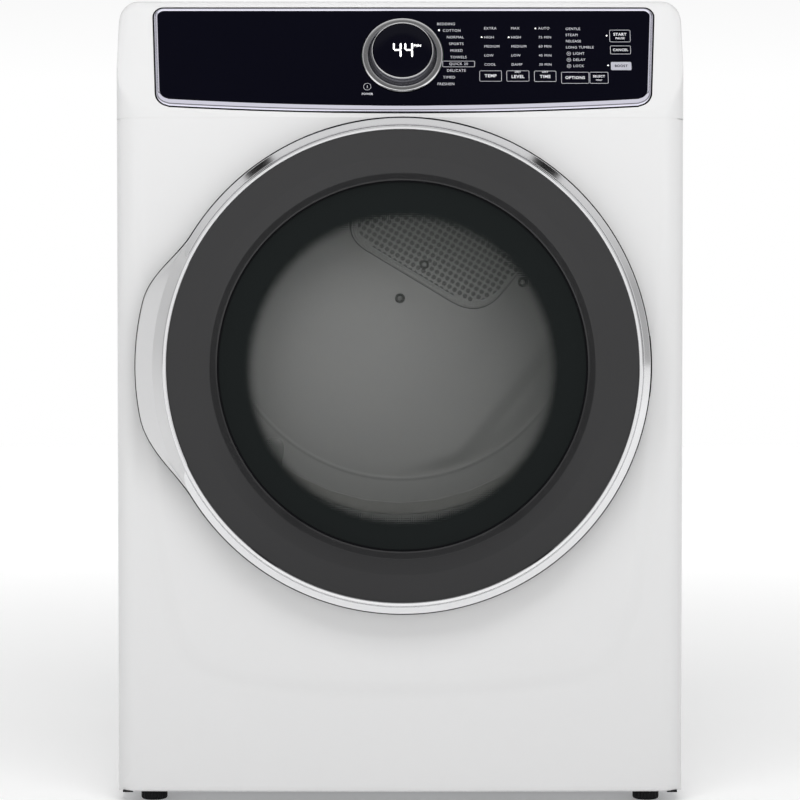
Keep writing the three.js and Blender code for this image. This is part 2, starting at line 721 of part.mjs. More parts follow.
// The spring's outer shape, from the arm's tab down to the peg on the bracket
function idlerSpring() {
  const [top, bottom] = [vec(53.8, -45.5, 191.8), vec(69.3, -45.5, 121.4)];
  const along = bottom.clone().sub(top);
  const geometry = new THREE.CylinderGeometry(4.5, 4.5, along.length(), 10);
  geometry.applyQuaternion(new THREE.Quaternion().setFromUnitVectors(vec(0, 1, 0), along.normalize()));
  const middle = top.add(bottom).multiplyScalar(0.5);
  return solid(geometry.translate(middle.x, middle.y, middle.z));
}

// ---------------------------------------------------------------- air path
// Front view of the lint duct: wide under the filter, then across to the blower
function ductOutline(inset) {
  const t = inset;
  return [
    [-116 + t, 286 + t], [-116 + t, 146 + t], [40 + t, 58 + t], [232 - t, 58 + t],
    [232 - t, 204 - t], [116 - t, 240 - t], [116 - t, 286 + t],
  ];
}

function lintDuct() {
  const box = prism(ductOutline(0), 'Y', -328, -304.5);
  const neck = disc(blower.inlet + 3, 'Y', -306, blower.front - gap, 40, motor.x, motor.z);
  return cut(
    union(box, neck),
    prism(ductOutline(2), 'Y', -326, -306.5),
    disc(blower.inlet, 'Y', -320, -280, 40, motor.x, motor.z),
  );
}

// Scroll round the wheel, running into a straight outlet low on the left
function scroll(inset, from, to) {
  const radius = blower.radius + 20 - inset;
  const run = block(exhaust.x - 56 + inset, motor.x, from, to, 35 + inset, 141 - inset);
  return union(disc(radius, 'Y', from, to, 40, motor.x, motor.z), run);
}

function blowerHousing() {
  const { front, rear, wall } = blower;
  const legs = [70, 215].map((x) => block(x, x + 14, front, rear, 14.3, 60));
  return cut(
    union(scroll(0, front, rear), ...legs),
    scroll(wall, front + wall, rear - wall),
    disc(blower.inlet, 'Y', front - 5, front + 5, 40, motor.x, motor.z),
    disc(9, 'Y', rear - 5, rear + 5, 16, motor.x, motor.z),
    disc(exhaust.radius - 1, 'Y', rear - 5, rear + 5, 32, exhaust.x, exhaust.z),
  );
}

function exhaustDuct() {
  return ring(exhaust.radius, exhaust.radius + 1.2, 'Y', blower.rear + gap, 382.5, 24, exhaust.x, exhaust.z);
}

function exhaustCollar() {
  const r = exhaust.radius;
  const profile = [
    [r - 1, 382.8], [r + 1, 382.8], [r + 1, 386.3], [r + 12, 386.3], [r + 12, 388], [r + 1, 388],
    [r + 1, exhaust.end], [r - 1, exhaust.end],
  ];
  return turned(profile, 'Y', 24, exhaust.x, exhaust.z);
}

function lintFilterFrame() {
  const { halfWidth: w, y, low, high } = filter;
  const bar = block(-w, w, y - 5, y + 5, low, high);
  const grip = block(-40, 40, y - 10, y - 3, high - 18, high - 8);
  return cut(bar, block(-w + 8, w - 8, y - 10, y + 10, low + 8, high - 24), grip);
}

function lintFilterScreen() {
  const { halfWidth: w, y, low, high } = filter;
  return block(-w + 8 + gap, w - 8 - gap, y - 0.6, y + 0.6, low + 8 + gap, high - 24 - gap);
}

// ---------------------------------------------------------------- small fittings
function levellingFoot() {
  const { radius: r, height: h } = foot;
  const pad = [[0, 0], [r - 1.5, 0], [r, 2], [r, h - 2], [r - 2, h]];
  return turned([...pad, [foot.stud, h], [foot.stud, foot.top], [0, foot.top]], 'Z', 16);
}

function feet() {
  const names = ['front_left', 'front_right', 'rear_left', 'rear_right'];
  const geometry = toGeometry(levellingFoot());
  return footPlaces().map(([x, y], i) => at(piece(`${names[i]}_foot`, geometry, 'blackPlastic'), x, y, 0));
}

function terminalCover() {
  const y = cabinet.back + gap;
  return cut(block(-300, -190, y, y + 16, 150, 240), block(-298, -192, y - 1, y + 14, 152, 238));
}

function drumLamp() {
  const y = frontWall + 2 + gap;
  return turned([[0, y], [20, y], [20, y + 4], [14, y + 9], [0, y + 11]], 'Y', 20, 0, 812);
}

function moistureSensor() {
  const bar = (y) => block(-42, 42, y, y + 4, 298, 302);
  return union(block(-44, 48, -348, -330, 297, 299.5), bar(-346), bar(-336));
}

// ---------------------------------------------------------------- the whole machine
const dryer = assembly(
  piece('base_pan', basePan(), 'zincSteel'),
  piece('left_side_panel', sidePanel(-1), 'whiteSteel'),
  piece('right_side_panel', sidePanel(1), 'whiteSteel'),
  piece('back_panel', backPanel(), 'zincSteel'),
  piece('top_panel', topPanel(), 'whiteSteel'),
  piece('front_panel', frontPanel(), 'whiteSteel'),
  piece('console_frame', consoleFrame(), 'whiteSteel'),
  piece('console_housing', consoleHousing(), 'blackPlastic'),
  piece('console_bezel', consoleBezel(), 'chrome'),
  piece('console_glass', consoleGlass(), 'blackGlass'),
  piece('control_board', controlBoard(), 'circuitBoard'),
  piece('display_lens', displayLens(), 'blackGlass'),
  piece('hinge_bracket', hingeBracket(), 'zincSteel'),
  piece('door_catch', doorCatch(), 'blackPlastic'),
  piece('door_switch_button', doorSwitchButton(), 'whitePlastic'),
  piece('front_bulkhead', frontBulkhead(), 'whitePlastic'),
  piece('rear_bulkhead', rearBulkhead(), 'stainless'),
  piece('inlet_grille', inletGrille(), 'stainless'),
  piece('heater_housing', heaterHousing(), 'zincSteel'),
  piece('heating_element', heatingElement(), 'copper'),
  piece('front_drum_seal', drumSeal(frontWall + 2 + gap, drum.front - gap), 'felt'),
  piece('rear_drum_seal', drumSeal(drum.rear + gap, rearWall - gap), 'felt'),
  piece('drum_belt', drumBelt(), 'rubber'),
  piece('motor_housing', motorHousing(), 'zincSteel'),
  piece('motor_bracket', motorBracket(), 'zincSteel'),
  piece('idler_arm', idlerArm(), 'zincSteel'),
  at(piece('idler_pulley', idlerPulley(), 'blackPlastic'), idler.x, pulley.y, idler.z),
  piece('idler_spring', idlerSpring(), 'stainless'),
  piece('lint_duct', lintDuct(), 'greyPlastic'),
  piece('lint_filter_frame', lintFilterFrame(), 'whitePlastic'),
  piece('lint_filter_screen', lintFilterScreen(), 'greyPlastic'),
  piece('blower_housing', blowerHousing(), 'greyPlastic'),
  piece('exhaust_duct', exhaustDuct(), 'zincSteel'),
  piece('exhaust_collar', exhaustCollar(), 'zincSteel'),
  piece('terminal_cover', terminalCover(), 'zincSteel'),
  piece('drum_lamp', drumLamp(), 'clearGlass'),
  piece('moisture_sensor', moistureSensor(), 'stainless'),
  dial(),
  doorAssembly(),
  drumAssembly(),
  rotor(),
  ...rollers(),
  ...feet(),
);

export default dryer;
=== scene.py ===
"""Looks of a front-loading clothes dryer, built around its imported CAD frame."""

import math
import bmesh
import bpy
import numpy as np
from mathutils import Matrix, Vector


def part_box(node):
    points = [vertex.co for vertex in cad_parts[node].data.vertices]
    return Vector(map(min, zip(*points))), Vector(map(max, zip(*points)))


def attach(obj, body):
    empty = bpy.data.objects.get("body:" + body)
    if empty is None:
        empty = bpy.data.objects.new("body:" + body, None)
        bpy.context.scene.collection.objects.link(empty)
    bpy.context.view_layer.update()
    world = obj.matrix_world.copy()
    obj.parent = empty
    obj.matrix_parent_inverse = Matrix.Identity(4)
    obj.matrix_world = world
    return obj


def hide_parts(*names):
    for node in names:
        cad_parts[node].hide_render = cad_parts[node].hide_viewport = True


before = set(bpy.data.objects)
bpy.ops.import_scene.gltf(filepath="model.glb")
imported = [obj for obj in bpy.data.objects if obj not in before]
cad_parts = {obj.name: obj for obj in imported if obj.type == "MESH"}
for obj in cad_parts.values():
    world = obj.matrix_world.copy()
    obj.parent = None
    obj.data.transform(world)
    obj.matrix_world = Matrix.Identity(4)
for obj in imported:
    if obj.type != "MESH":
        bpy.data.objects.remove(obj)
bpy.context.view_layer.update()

MM = 0.001
MICRON = 1e-6


# ------------------------------------------------------------------ places, from the frame
def box_mm(node):
    """A node's lowest and highest corners in millimetres."""
    low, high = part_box(node)
    return low / MM, high / MM


def middle(node):
    low, high = box_mm(node)
    return (low + high) / 2


PANEL_LOW, PANEL_HIGH = box_mm("front_panel")
CONSOLE_LOW, CONSOLE_HIGH = box_mm("console_frame")
BEZEL_LOW, BEZEL_HIGH = box_mm("door_bezel")
TRIM_HIGH = box_mm("door_trim_ring")[1]
GLASS_LOW, GLASS_HIGH = box_mm("door_glass")
DRUM_LOW, DRUM_HIGH = box_mm("drum_shell")
REAR_LOW, REAR_HIGH = box_mm("rear_bulkhead")
TOP_LOW, TOP_HIGH = box_mm("top_panel")

HALF_WIDTH = PANEL_HIGH.x
FRONT_Y = PANEL_LOW.y                       # most forward point of the crowned front
SIDE_Y = PANEL_HIGH.y                       # where the side panels begin
DOOR_X = (BEZEL_LOW.x + BEZEL_HIGH.x) / 2
DOOR_Z = (BEZEL_LOW.z + BEZEL_HIGH.z) / 2
DOOR_CENTRE = Vector((DOOR_X, 0, DOOR_Z))
BEZEL_RADIUS = (BEZEL_HIGH.x - BEZEL_LOW.x) / 2
WINDOW_RADIUS = (GLASS_HIGH.x - GLASS_LOW.x) / 2 + 0.6
TRIM_RADIUS = TRIM_HIGH.x - DOOR_X
OPENING_RADIUS = 246
DRUM_CENTRE = Vector((0, 0, (DRUM_LOW.z + DRUM_HIGH.z) / 2))
DRUM_RADIUS = (DRUM_HIGH.x - DRUM_LOW.x) / 2
REAR_WALL_Y = REAR_HIGH.y - 2
TILT = math.radians(19.7)                   # the console leans back by this much
SHOULDER = 24                               # radius of the cabinet's top corners
FIELD_RISE = 3.2                            # how far the middle of the front stands proud
FIELD_EDGE = 24                             # width of the soft step round it
FIELD_FOOT = 150                            # height of its lower edge; the sheet leans back below it
FIELD_LEAN = 4.0                            # how far it leans back at the floor
DIAL_UP = 82.5                              # dial centre, up the slope from the fold
INLET_SLOPE = math.radians(-31)             # slant of the warm-air inlet's straight edge
INLET_CHORD = 36                            # distance of that edge from the drum's axis
GAP = 1.9                                   # shadow gap round the console glass
BAND_RADIUS = TRIM_RADIUS - 2.6             # outer radius of the door's bright band
EAR_START, EAR_END = 148, 212               # the handle ear's reach, in degrees from the right
EAR_RISE = 23.0                             # its height beyond the band


# ------------------------------------------------------------------ geometry helpers
def new_object(name, bm, smooth_angle=32):
    """An object in metres from a bmesh in millimetres, smooth except at sharp edges."""
    bmesh.ops.remove_doubles(bm, verts=bm.verts, dist=1e-4)
    bmesh.ops.recalc_face_normals(bm, faces=bm.faces)
    bm.transform(Matrix.Scale(MM, 4))
    mesh = bpy.data.meshes.new(name)
    bm.to_mesh(mesh)
    bm.free()
    mesh.shade_smooth()
    mesh.set_sharp_from_angle(angle=math.radians(smooth_angle))
    obj = bpy.data.objects.new(name, mesh)
    bpy.context.scene.collection.objects.link(obj)
    return obj


def baked(obj):
    """The object with its modifiers applied."""
    depsgraph = bpy.context.evaluated_depsgraph_get()
    mesh = bpy.data.meshes.new_from_object(obj.evaluated_get(depsgraph))
    obj.modifiers.clear()
    old = obj.data
    obj.data = mesh
    bpy.data.meshes.remove(old)
    mesh.name = obj.name
    return obj


def thickened(obj, thickness, smooth_angle=32):
    """A sheet given a thickness in millimetres behind its surface."""
    modifier = obj.modifiers.new("thickness", "SOLIDIFY")
    modifier.thickness = thickness * MM
    modifier.offset = -1
    baked(obj)
    obj.data.set_sharp_from_angle(angle=math.radians(smooth_angle))
    return obj


def carved(obj, *cutters, smooth_angle=32):
    """The object with the cutters' shapes removed; the cutters are used up."""
    for cutter in cutters:
        modifier = obj.modifiers.new("cut", "BOOLEAN")
        modifier.operation = "DIFFERENCE"
        modifier.solver = "EXACT"
        modifier.object = cutter
    baked(obj)
    for cutter in cutters:
        bpy.data.objects.remove(cutter)
    obj.data.shade_smooth()
    obj.data.set_sharp_from_angle(angle=math.radians(smooth_angle))
    return obj


def loft(name, rings, closed=True, capped=False, smooth_angle=32, transform=None):
    """Skins a list of point loops. closed joins the last loop to the first one."""
    bm = bmesh.new()
    loops = [[bm.verts.new(p) for p in ring] for ring in rings]
    pairs = list(zip(loops, loops[1:]))
    if closed:
        pairs.append((loops[-1], loops[0]))
    for a, b in pairs:
        for i in range(len(a)):
            j = (i + 1) % len(a)
            bm.faces.new((a[i], a[j], b[j], b[i]))
    if capped:
        bm.faces.new(loops[0])
        bm.faces.new(reversed(loops[-1]))
    if transform is not None:
        bm.transform(transform)
    return new_object(name, bm, smooth_angle)


def joined(name, parts):
    """One object from several, keeping their surfaces."""
    bm = bmesh.new()
    for part in parts:
        bm.from_mesh(part.data)
        bpy.data.objects.remove(part)
    bm.transform(Matrix.Scale(1 / MM, 4))
    return new_object(name, bm)


def arc(cx, cy, radius, start, end, steps):
    """Points on a circle from start to end, in degrees."""
    angles = [math.radians(start + (end - start) * i / steps) for i in range(steps + 1)]
    return [(cx + radius * math.cos(a), cy + radius * math.sin(a)) for a in angles]


def filleted(points, steps=4):
    """A closed outline whose points (u, v, r) are rounded off to about radius r."""
    outline = []
    for i, (u, v, r) in enumerate(points):
        here = Vector((u, v))
        before = Vector(points[i - 1][:2]) - here
        after = Vector(points[(i + 1) % len(points)][:2]) - here
        if r == 0:
            outline.append((u, v))
            continue
        half = before.angle(after) / 2
        reach = min(r / math.tan(half), 0.49 * before.length, 0.49 * after.length)
        start = here + before.normalized() * reach
        end = here + after.normalized() * reach
        for k in range(steps + 1):
            t = k / steps
            outline.append(tuple((1 - t) ** 2 * start + 2 * t * (1 - t) * here + t * t * end))
    return outline


def turned(name, profile, centre, axis="Y", segments=128, transform=None):
    """A closed profile of (radius, height) turned about the Y or Z axis through centre."""
    spin = [2 * math.pi * i / segments for i in range(segments)]
    place = {
        "Y": lambda r, h, c, s: (r * c, h, r * s),
        "Z": lambda r, h, c, s: (r * c, r * s, h),
    }[axis]
    rings = [
        [Vector(place(r, h, math.cos(a), math.sin(a))) + Vector(centre) for a in spin]
        for r, h in profile
    ]
    return loft(name, rings, closed=profile[0][0] > 0, transform=transform)


def extruded(name, outline, axis, low, high, bevel=0.0, transform=None):
    """A closed outline pushed along an axis; Y takes (x, z), Z takes (x, y)."""
    place = {
        "Y": lambda u, v, w: (u, w, v),
        "Z": lambda u, v, w: (u, v, w),
    }[axis]
    bm = bmesh.new()
    floor = [bm.verts.new(place(u, v, low)) for u, v in outline]
    roof = [bm.verts.new(place(u, v, high)) for u, v in outline]
    caps = [bm.faces.new(floor), bm.faces.new(roof)]
    for i in range(len(floor)):
        j = (i + 1) % len(floor)
        bm.faces.new((floor[i], floor[j], roof[j], roof[i]))
    if bevel:
        rims = list({edge for cap in caps for edge in cap.edges})
        bmesh.ops.bevel(bm, geom=rims, offset=bevel, segments=3, profile=0.5, affect="EDGES")
    if transform is not None:
        bm.transform(transform)
    return new_object(name, bm)


def block(name, low, high, bevel=0.0):
    """A rectangular piece between two corners, used to cut slots and for the small blocks of painted shade at
    the front's lower corners.
    """
    outline = [(low[0], low[2]), (high[0], low[2]), (high[0], high[2]), (low[0], high[2])]
    return extruded(name, outline, "Y", low[1], high[1], bevel)


def ring_section(angle, section):
    """A section of (radius, height) standing at an angle in degrees round the door's centre."""
    c, s = math.cos(math.radians(angle)), math.sin(math.radians(angle))
    return [(DOOR_X + r * c, h, DOOR_Z + r * s) for r, h in section]


def rays(x, z, around, low, high):
    """Directions from a centre, one through each corner of a box, and the way to its edge along each."""
    corners = [math.atan2(w - z, u - x) for u in (low.x, high.x) for w in (low.z, high.z)]
    angles = sorted([2 * math.pi * i / around - math.pi for i in range(around)] + corners)
    cos, sin = np.cos(angles), np.sin(angles)
    tiny = 1e-9
    across = np.where(cos > 0, high.x - x, x - low.x) / np.maximum(np.abs(cos), tiny)
    up = np.where(sin > 0, high.z - z, z - low.z) / np.maximum(np.abs(sin), tiny)
    return cos, sin, np.minimum(across, up)


def smooth(t):
    """Eases from 0 to 1 as t goes from 0 to 1."""
    t = np.clip(t, 0, 1)
    return t * t * (3 - 2 * t)


# ------------------------------------------------------------------ materials
class Graph:
    """Short calls for building a node tree."""

    def __init__(self, tree, coordinates):
        self.tree = tree
        self.coords = self.node("TexCoord").outputs[coordinates]

    def node(self, kind, **values):
        """A new shader node with some of its inputs set; underscores stand for spaces."""
        node = self.tree.nodes.new("ShaderNode" + kind)
        for name, value in values.items():
            node.inputs[name.replace("_", " ")].default_value = value
        return node

    def link(self, source, target):
        self.tree.links.new(source, target)

    def split(self):
        """The x, y and z of the coordinates."""
        node = self.node("SeparateXYZ")
        self.link(self.coords, node.inputs[0])
        return node.outputs["X"], node.outputs["Y"], node.outputs["Z"]

    def ramp(self, value, low, high, start=0.0, end=1.0):
        """low..high as value goes over start..end, in numbers, or over 0..1 in colours."""
        if isinstance(low, tuple):
            node = self.node("ValToRGB")
            node.color_ramp.elements[0].color = (*low, 1)
            node.color_ramp.elements[1].color = (*high, 1)
            self.link(value, node.inputs["Fac"])
            return node.outputs["Color"]
        node = self.node("MapRange", From_Min=start, From_Max=end, To_Min=low, To_Max=high)
        self.link(value, node.inputs["Value"])
        return node.outputs["Result"]

    def math(self, operation, *operands):
        """One sum on numbers and other nodes' outputs."""
        node = self.node("Math")
        node.operation = operation
        for socket, value in zip(node.inputs, operands):
            if isinstance(value, (int, float)):
                socket.default_value = value
            else:
                self.link(value, socket)
        return node.outputs["Value"]

    def length(self, a, b):
        squares = self.math("MULTIPLY_ADD", a, a, self.math("MULTIPLY", b, b))
        return self.math("SQRT", squares)


class Nodes(Graph):
    """One material's node tree, laid out in the object's own coordinates."""

    def __init__(self, name):
        self.material = bpy.data.materials.new(name)
        self.material.use_nodes = True
        super().__init__(self.material.node_tree, "Object")
        self.shader = self.tree.nodes["Principled BSDF"]

    def feed(self, name, source):
        """Links an output to the shader's input of that name."""
        self.link(source, self.shader.inputs[name])

    def scaled(self, scale):
        mapping = self.node("Mapping", Scale=scale)
        self.link(self.coords, mapping.inputs["Vector"])
        return mapping.outputs["Vector"]

    def noise(self, scale, detail=3.0, vector=None):
        node = self.node("TexNoise", Scale=scale, Detail=detail)
        self.link(vector or self.coords, node.inputs["Vector"])
        return node.outputs["Fac"]

    def bump(self, height, distance):
        node = self.node("Bump", Strength=1.0, Distance=distance)
        self.link(height, node.inputs["Height"])
        self.feed("Normal", node.outputs["Normal"])

    def set(self, **values):
        for name, value in values.items():
            self.shader.inputs[name.replace("_", " ")].default_value = value


def finish_of(name, color, roughness, metallic, tint, grain, depth, stretch=(1, 1, 1), rough_spread=0.05,
              **extra):
    """A moulded, painted or metal surface: tint and gloss drift over it, and a fine grain covers it.

    tint is the drift's share of the colour, grain how fine the grain is, and depth its height in
    micrometres.
    """
    nodes = Nodes(name)
    nodes.set(Metallic=metallic, **extra)
    drift = nodes.noise(6.0, 4.0)
    dark = tuple(c * (1 - tint) for c in color)
    light = tuple(min(1.0, c * (1 + tint)) for c in color)
    nodes.feed("Base Color", nodes.ramp(drift, dark, light))
    fine = nodes.noise(grain, 4.0, nodes.scaled(stretch))
    gloss = nodes.ramp(fine, max(0.0, roughness - rough_spread), roughness + rough_spread)
    nodes.feed("Roughness", gloss)
    nodes.bump(fine, depth * MICRON)
    return nodes.material


def glass_of(name, color, alpha, roughness=0.03):
    """Clear pane: straight view through it, with faint streaks in its gloss."""
    nodes = Nodes(name)
    nodes.set(Base_Color=(*color, 1), Alpha=alpha, IOR=1.5)
    streaks = nodes.noise(30.0, 5.0, nodes.scaled((1, 1, 3)))
    nodes.feed("Roughness", nodes.ramp(streaks, roughness, roughness + 0.05))
    return nodes.material


def window_glass():
    """Door glass with a black printed border that fades inwards in round dots."""
    nodes = Nodes("window_glass")
    fade_radius, fade_width, dot_pitch = 0.172, 0.021, 0.0026
    off_right, off_up = -1, -3                  # the print's centre from the door's, in millimetres
    across, _, up = nodes.split()
    x = nodes.math("SUBTRACT", across, (DOOR_X + off_right) * MM)
    z = nodes.math("SUBTRACT", up, (DOOR_Z + off_up) * MM)
    radius = nodes.length(x, z)
    reach = nodes.ramp(radius, 0.0, 0.75, fade_radius, fade_radius + fade_width)
    cell_x = nodes.math("PINGPONG", nodes.math("DIVIDE", x, dot_pitch), 0.5)
    cell_z = nodes.math("PINGPONG", nodes.math("DIVIDE", z, dot_pitch), 0.5)
    ink = nodes.math("LESS_THAN", nodes.length(cell_x, cell_z), reach)
    nodes.set(IOR=1.45, Specular_IOR_Level=0.06)
    nodes.feed("Base Color", nodes.ramp(ink, (0.06, 0.065, 0.06), (0.008, 0.010, 0.010)))
    nodes.feed("Alpha", nodes.ramp(ink, 0.16, 1.0))
    streaks = nodes.noise(25.0, 4.0)
    nodes.feed("Roughness", nodes.ramp(streaks, 0.02, 0.06))
    return nodes.material


def wire_mesh():
    """Fine woven screen: thin wires with square openings between them."""
    pitch, half_wire = 0.0016, 0.17
    nodes = Nodes("filter_mesh")
    x, _, z = nodes.split()
    covers = []
    for axis in (x, z):
        across = nodes.math("FRACT", nodes.math("DIVIDE", axis, pitch))
        offset = nodes.math("ABSOLUTE", nodes.math("SUBTRACT", across, 0.5))
        covers.append(nodes.math("LESS_THAN", offset, half_wire))
    nodes.feed("Alpha", nodes.math("MAXIMUM", *covers))
    drift = nodes.noise(300.0)
    nodes.feed("Base Color", nodes.ramp(drift, (0.22, 0.22, 0.23), (0.30, 0.30, 0.31)))
    nodes.set(Roughness=0.5)
    return nodes.material


def glowing(name, color, strength):
    """Lit display segments, their brightness varying slightly over them."""
    nodes = Nodes(name)
    nodes.set(Base_Color=(*color, 1), Emission_Color=(*color, 1))
    shimmer = nodes.noise(300.0, 2.0)
    nodes.feed("Emission Strength", nodes.ramp(shimmer, strength * 0.9, strength * 1.1))
    return nodes.material


# Each finish by the short name that place() takes: the material's name, colour, roughness, metallic, tint,
# grain and depth.
FINISHES = {
    "enamel": ("white_enamel", (0.68, 0.68, 0.682), 0.3, 0, 0.006, 900, 12),
    "chrome": ("chrome_trim", (0.76, 0.76, 0.77), 0.1, 1, 0.02, 700, 4),
    "satin": ("satin_silver", (0.6, 0.6, 0.605), 0.3, 0.6, 0.015, 1200, 8),
    "console_chrome": ("console_chrome", (0.78, 0.77, 0.88), 0.12, 1, 0.02, 900, 3),
    "dark": ("dark_gloss", (0.0235, 0.0235, 0.0245), 0.16, 0, 0.08, 500, 4),
    "black_glass": ("black_glass", (0.0022, 0.0022, 0.0055), 0.05, 0, 0.1, 60, 0),
    "zinc": ("zinc_sheet", (0.52, 0.53, 0.55), 0.42, 0.85, 0.1, 90, 10),
    "steel": ("drum_steel", (0.5, 0.5, 0.5), 0.34, 0.9, 0.05, 160, 8),
    "shadow_steel": ("shadow_steel", (0.1, 0.1, 0.1), 0.6, 0.3, 0.1, 200, 10),
    # near black with little gloss, laid in gaps, grooves, dimples and along edges as painted shade
    "painted_shade_black": ("painted_shade_black", (0.004, 0.004, 0.005), 0.8, 0, 0.2, 900, 20),
    "grille": ("grille_steel", (0.33, 0.33, 0.325), 0.45, 0.4, 0.05, 260, 10),
    "bulkhead": ("rear_wall_steel", (0.33, 0.33, 0.325), 0.5, 0.35, 0.05, 220, 8),
    "white_plastic": ("white_plastic", (0.62, 0.62, 0.615), 0.45, 0, 0.02, 1500, 30),
    "grey_plastic": ("grey_plastic", (0.34, 0.35, 0.36), 0.5, 0, 0.04, 1300, 40),
    "black_plastic": ("black_plastic", (0.006, 0.006, 0.007), 0.55, 0, 0.2, 1400, 50),
    "rubber": ("rubber", (0.012, 0.012, 0.012), 0.75, 0, 0.15, 1100, 80),
    "felt": ("felt", (0.2, 0.195, 0.185), 0.95, 0, 0.18, 2600, 600),
    "copper": ("heating_wire", (0.36, 0.22, 0.12), 0.4, 0.9, 0.2, 700, 20),
    "board": ("circuit_board", (0.02, 0.14, 0.06), 0.45, 0, 0.15, 500, 30),
    "print": ("panel_print", (0.6, 0.6, 0.65), 0.5, 0, 0.05, 2000, 10),
    "print_bright": ("panel_print_bright", (0.7, 0.7, 0.74), 0.5, 0, 0.04, 2000, 10),
    "skirt": ("dial_skirt_grey", (0.16, 0.16, 0.18), 0.28, 0.8, 0.04, 800, 6),
    "lifter": ("lifter_plastic", (0.5, 0.5, 0.49), 0.4, 0, 0.03, 1200, 30),
    "key_grey": ("key_grey", (0.4, 0.4, 0.46), 0.5, 0, 0.04, 2000, 10),
}
EXTRAS = {                                      # further inputs of finish_of and the shader
    "enamel": {"rough_spread": 0.03, "Coat_Weight": 0.25, "Coat_Roughness": 0.12},
    "chrome": {"rough_spread": 0.03},
    "console_chrome": {"rough_spread": 0.03},
    "dark": {"rough_spread": 0.03, "Specular_IOR_Level": 0.3},
    "black_glass": {"rough_spread": 0.02, "Specular_IOR_Level": 0.08},
    "zinc": {"rough_spread": 0.1},
    "steel": {"stretch": (1, 12, 1), "rough_spread": 0.08},
    "painted_shade_black": {"Specular_IOR_Level": 0.1},
    "grille": {"rough_spread": 0.08},
    "bulkhead": {"stretch": (9, 1, 1), "rough_spread": 0.08},
    "black_plastic": {"Specular_IOR_Level": 0.2},
    "felt": {"Sheen_Weight": 0.4},
}


def make_materials():
    """Every finish on the machine, by its short name."""
    finishes = {short: finish_of(*row, **EXTRAS.get(short, {})) for short, row in FINISHES.items()}
    special = {
        "window": window_glass(),
        "bowl": glass_of("bowl_glass", (0.40, 0.42, 0.41), 0.06),
        "lamp": glass_of("lamp_cover", (0.75, 0.75, 0.72), 0.55, 0.2),
        "filter_mesh": wire_mesh(),
        "lit": glowing("lit_segments", (1.0, 1.0, 1.0), 1.6),
    }
    return finishes | special


MATERIALS = make_materials()


def place(obj, body, slot, material, *replaces):
    """Gives a finished piece its material and its place in the moving model."""
    obj.data.materials.clear()
    obj.data.materials.append(MATERIALS[material])
    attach(obj, body)
    if replaces:
        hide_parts(*replaces)
    return obj


# ------------------------------------------------------------------ cabinet
def crown_y(x):
    """Front surface round the raised field in plan, with the cabinet's rounded side edges."""
    flat, rise = 318, 4
    reach = np.clip(np.abs(x) / flat, 0, 1)
    turn = np.clip((np.abs(x) - flat) / (HALF_WIDTH - flat), 0, 1)
    edge_y = FRONT_Y + FIELD_RISE + rise
    return FRONT_Y + FIELD_RISE + rise * reach ** 2 + (SIDE_Y - edge_y) * (1 - np.sqrt(1 - turn ** 2))


def field_outline():
    """Right half of the raised field: straight sides that draw in and turn under the door."""
    half = [(323, 990), (323, 700), (309, 500), (293, 320), (270, 210), (238, 166), (170, 149), (80, 141),
            (0, 139)]
    curve = []
    for i in range(len(half) - 1):
        p0, p1, p2, p3 = (Vector(half[max(0, min(len(half) - 1, i + k))]) for k in (-1, 0, 1, 2))
        for step in range(6):
            t = step / 6
            a = 2 * p1 + (p2 - p0) * t + (2 * p0 - 5 * p1 + 4 * p2 - p3) * t ** 2
            curve.append((a + (3 * p1 - p0 - 3 * p2 + p3) * t ** 3) / 2)
    curve.append(Vector(half[-1]))
    return np.array([tuple(p) for p in curve])


def inside_field(x, z):
    """Distance into the raised field, positive inside, in millimetres."""
    outline = field_outline()
    across = np.abs(x - DOOR_X * 0.5)
    points = np.stack([across, z], axis=-1)[:, None, :]
    start, end = outline[:-1], outline[1:]
    along = end - start
    t = np.clip(((points - start) * along).sum(-1) / (along ** 2).sum(-1), 0, 1)
    distance = np.linalg.norm(points - (start + t[..., None] * along), axis=-1).min(1)
    half_width = np.interp(z, outline[::-1, 1], outline[::-1, 0])
    return np.where((across < half_width) & (z > outline[-1, 1]), distance, -distance)


def pocket_depth(x, z):
    """How deep the finger recess behind the door's ear is, 0 to 1."""
    centre_x, centre_z, half_x, half_z, wall = -299, DOOR_Z + 5, 13, 60, 6
    dx = np.maximum(np.abs(x - centre_x) - half_x + wall, 0)
    dz = np.maximum(np.abs(z - centre_z) - half_z + wall, 0)
    return smooth(1 - np.hypot(dx, dz) / wall)


def raised_front(x, z):
    """Front surface with its raised field, leaning back below it."""
    lean = FIELD_LEAN * np.clip((FIELD_FOOT - z) / FIELD_FOOT, 0, 1)
    field = FIELD_RISE * smooth(inside_field(x, z) / FIELD_EDGE + 0.5)
    return np.minimum(crown_y(x) + lean - field, SIDE_Y)


def front_surface(x, z):
    """The raised front with the finger pocket pressed in and its lower edge tucked back."""
    pocket, tuck = 17.0, 5.0
    y = raised_front(x, z) + pocket * pocket_depth(x, z)
    low = np.clip((PANEL_LOW.z + tuck - z) / tuck, 0, 1)
    return np.minimum(y + tuck * (1 - np.sqrt(1 - low ** 2)) * 0.9, SIDE_Y)


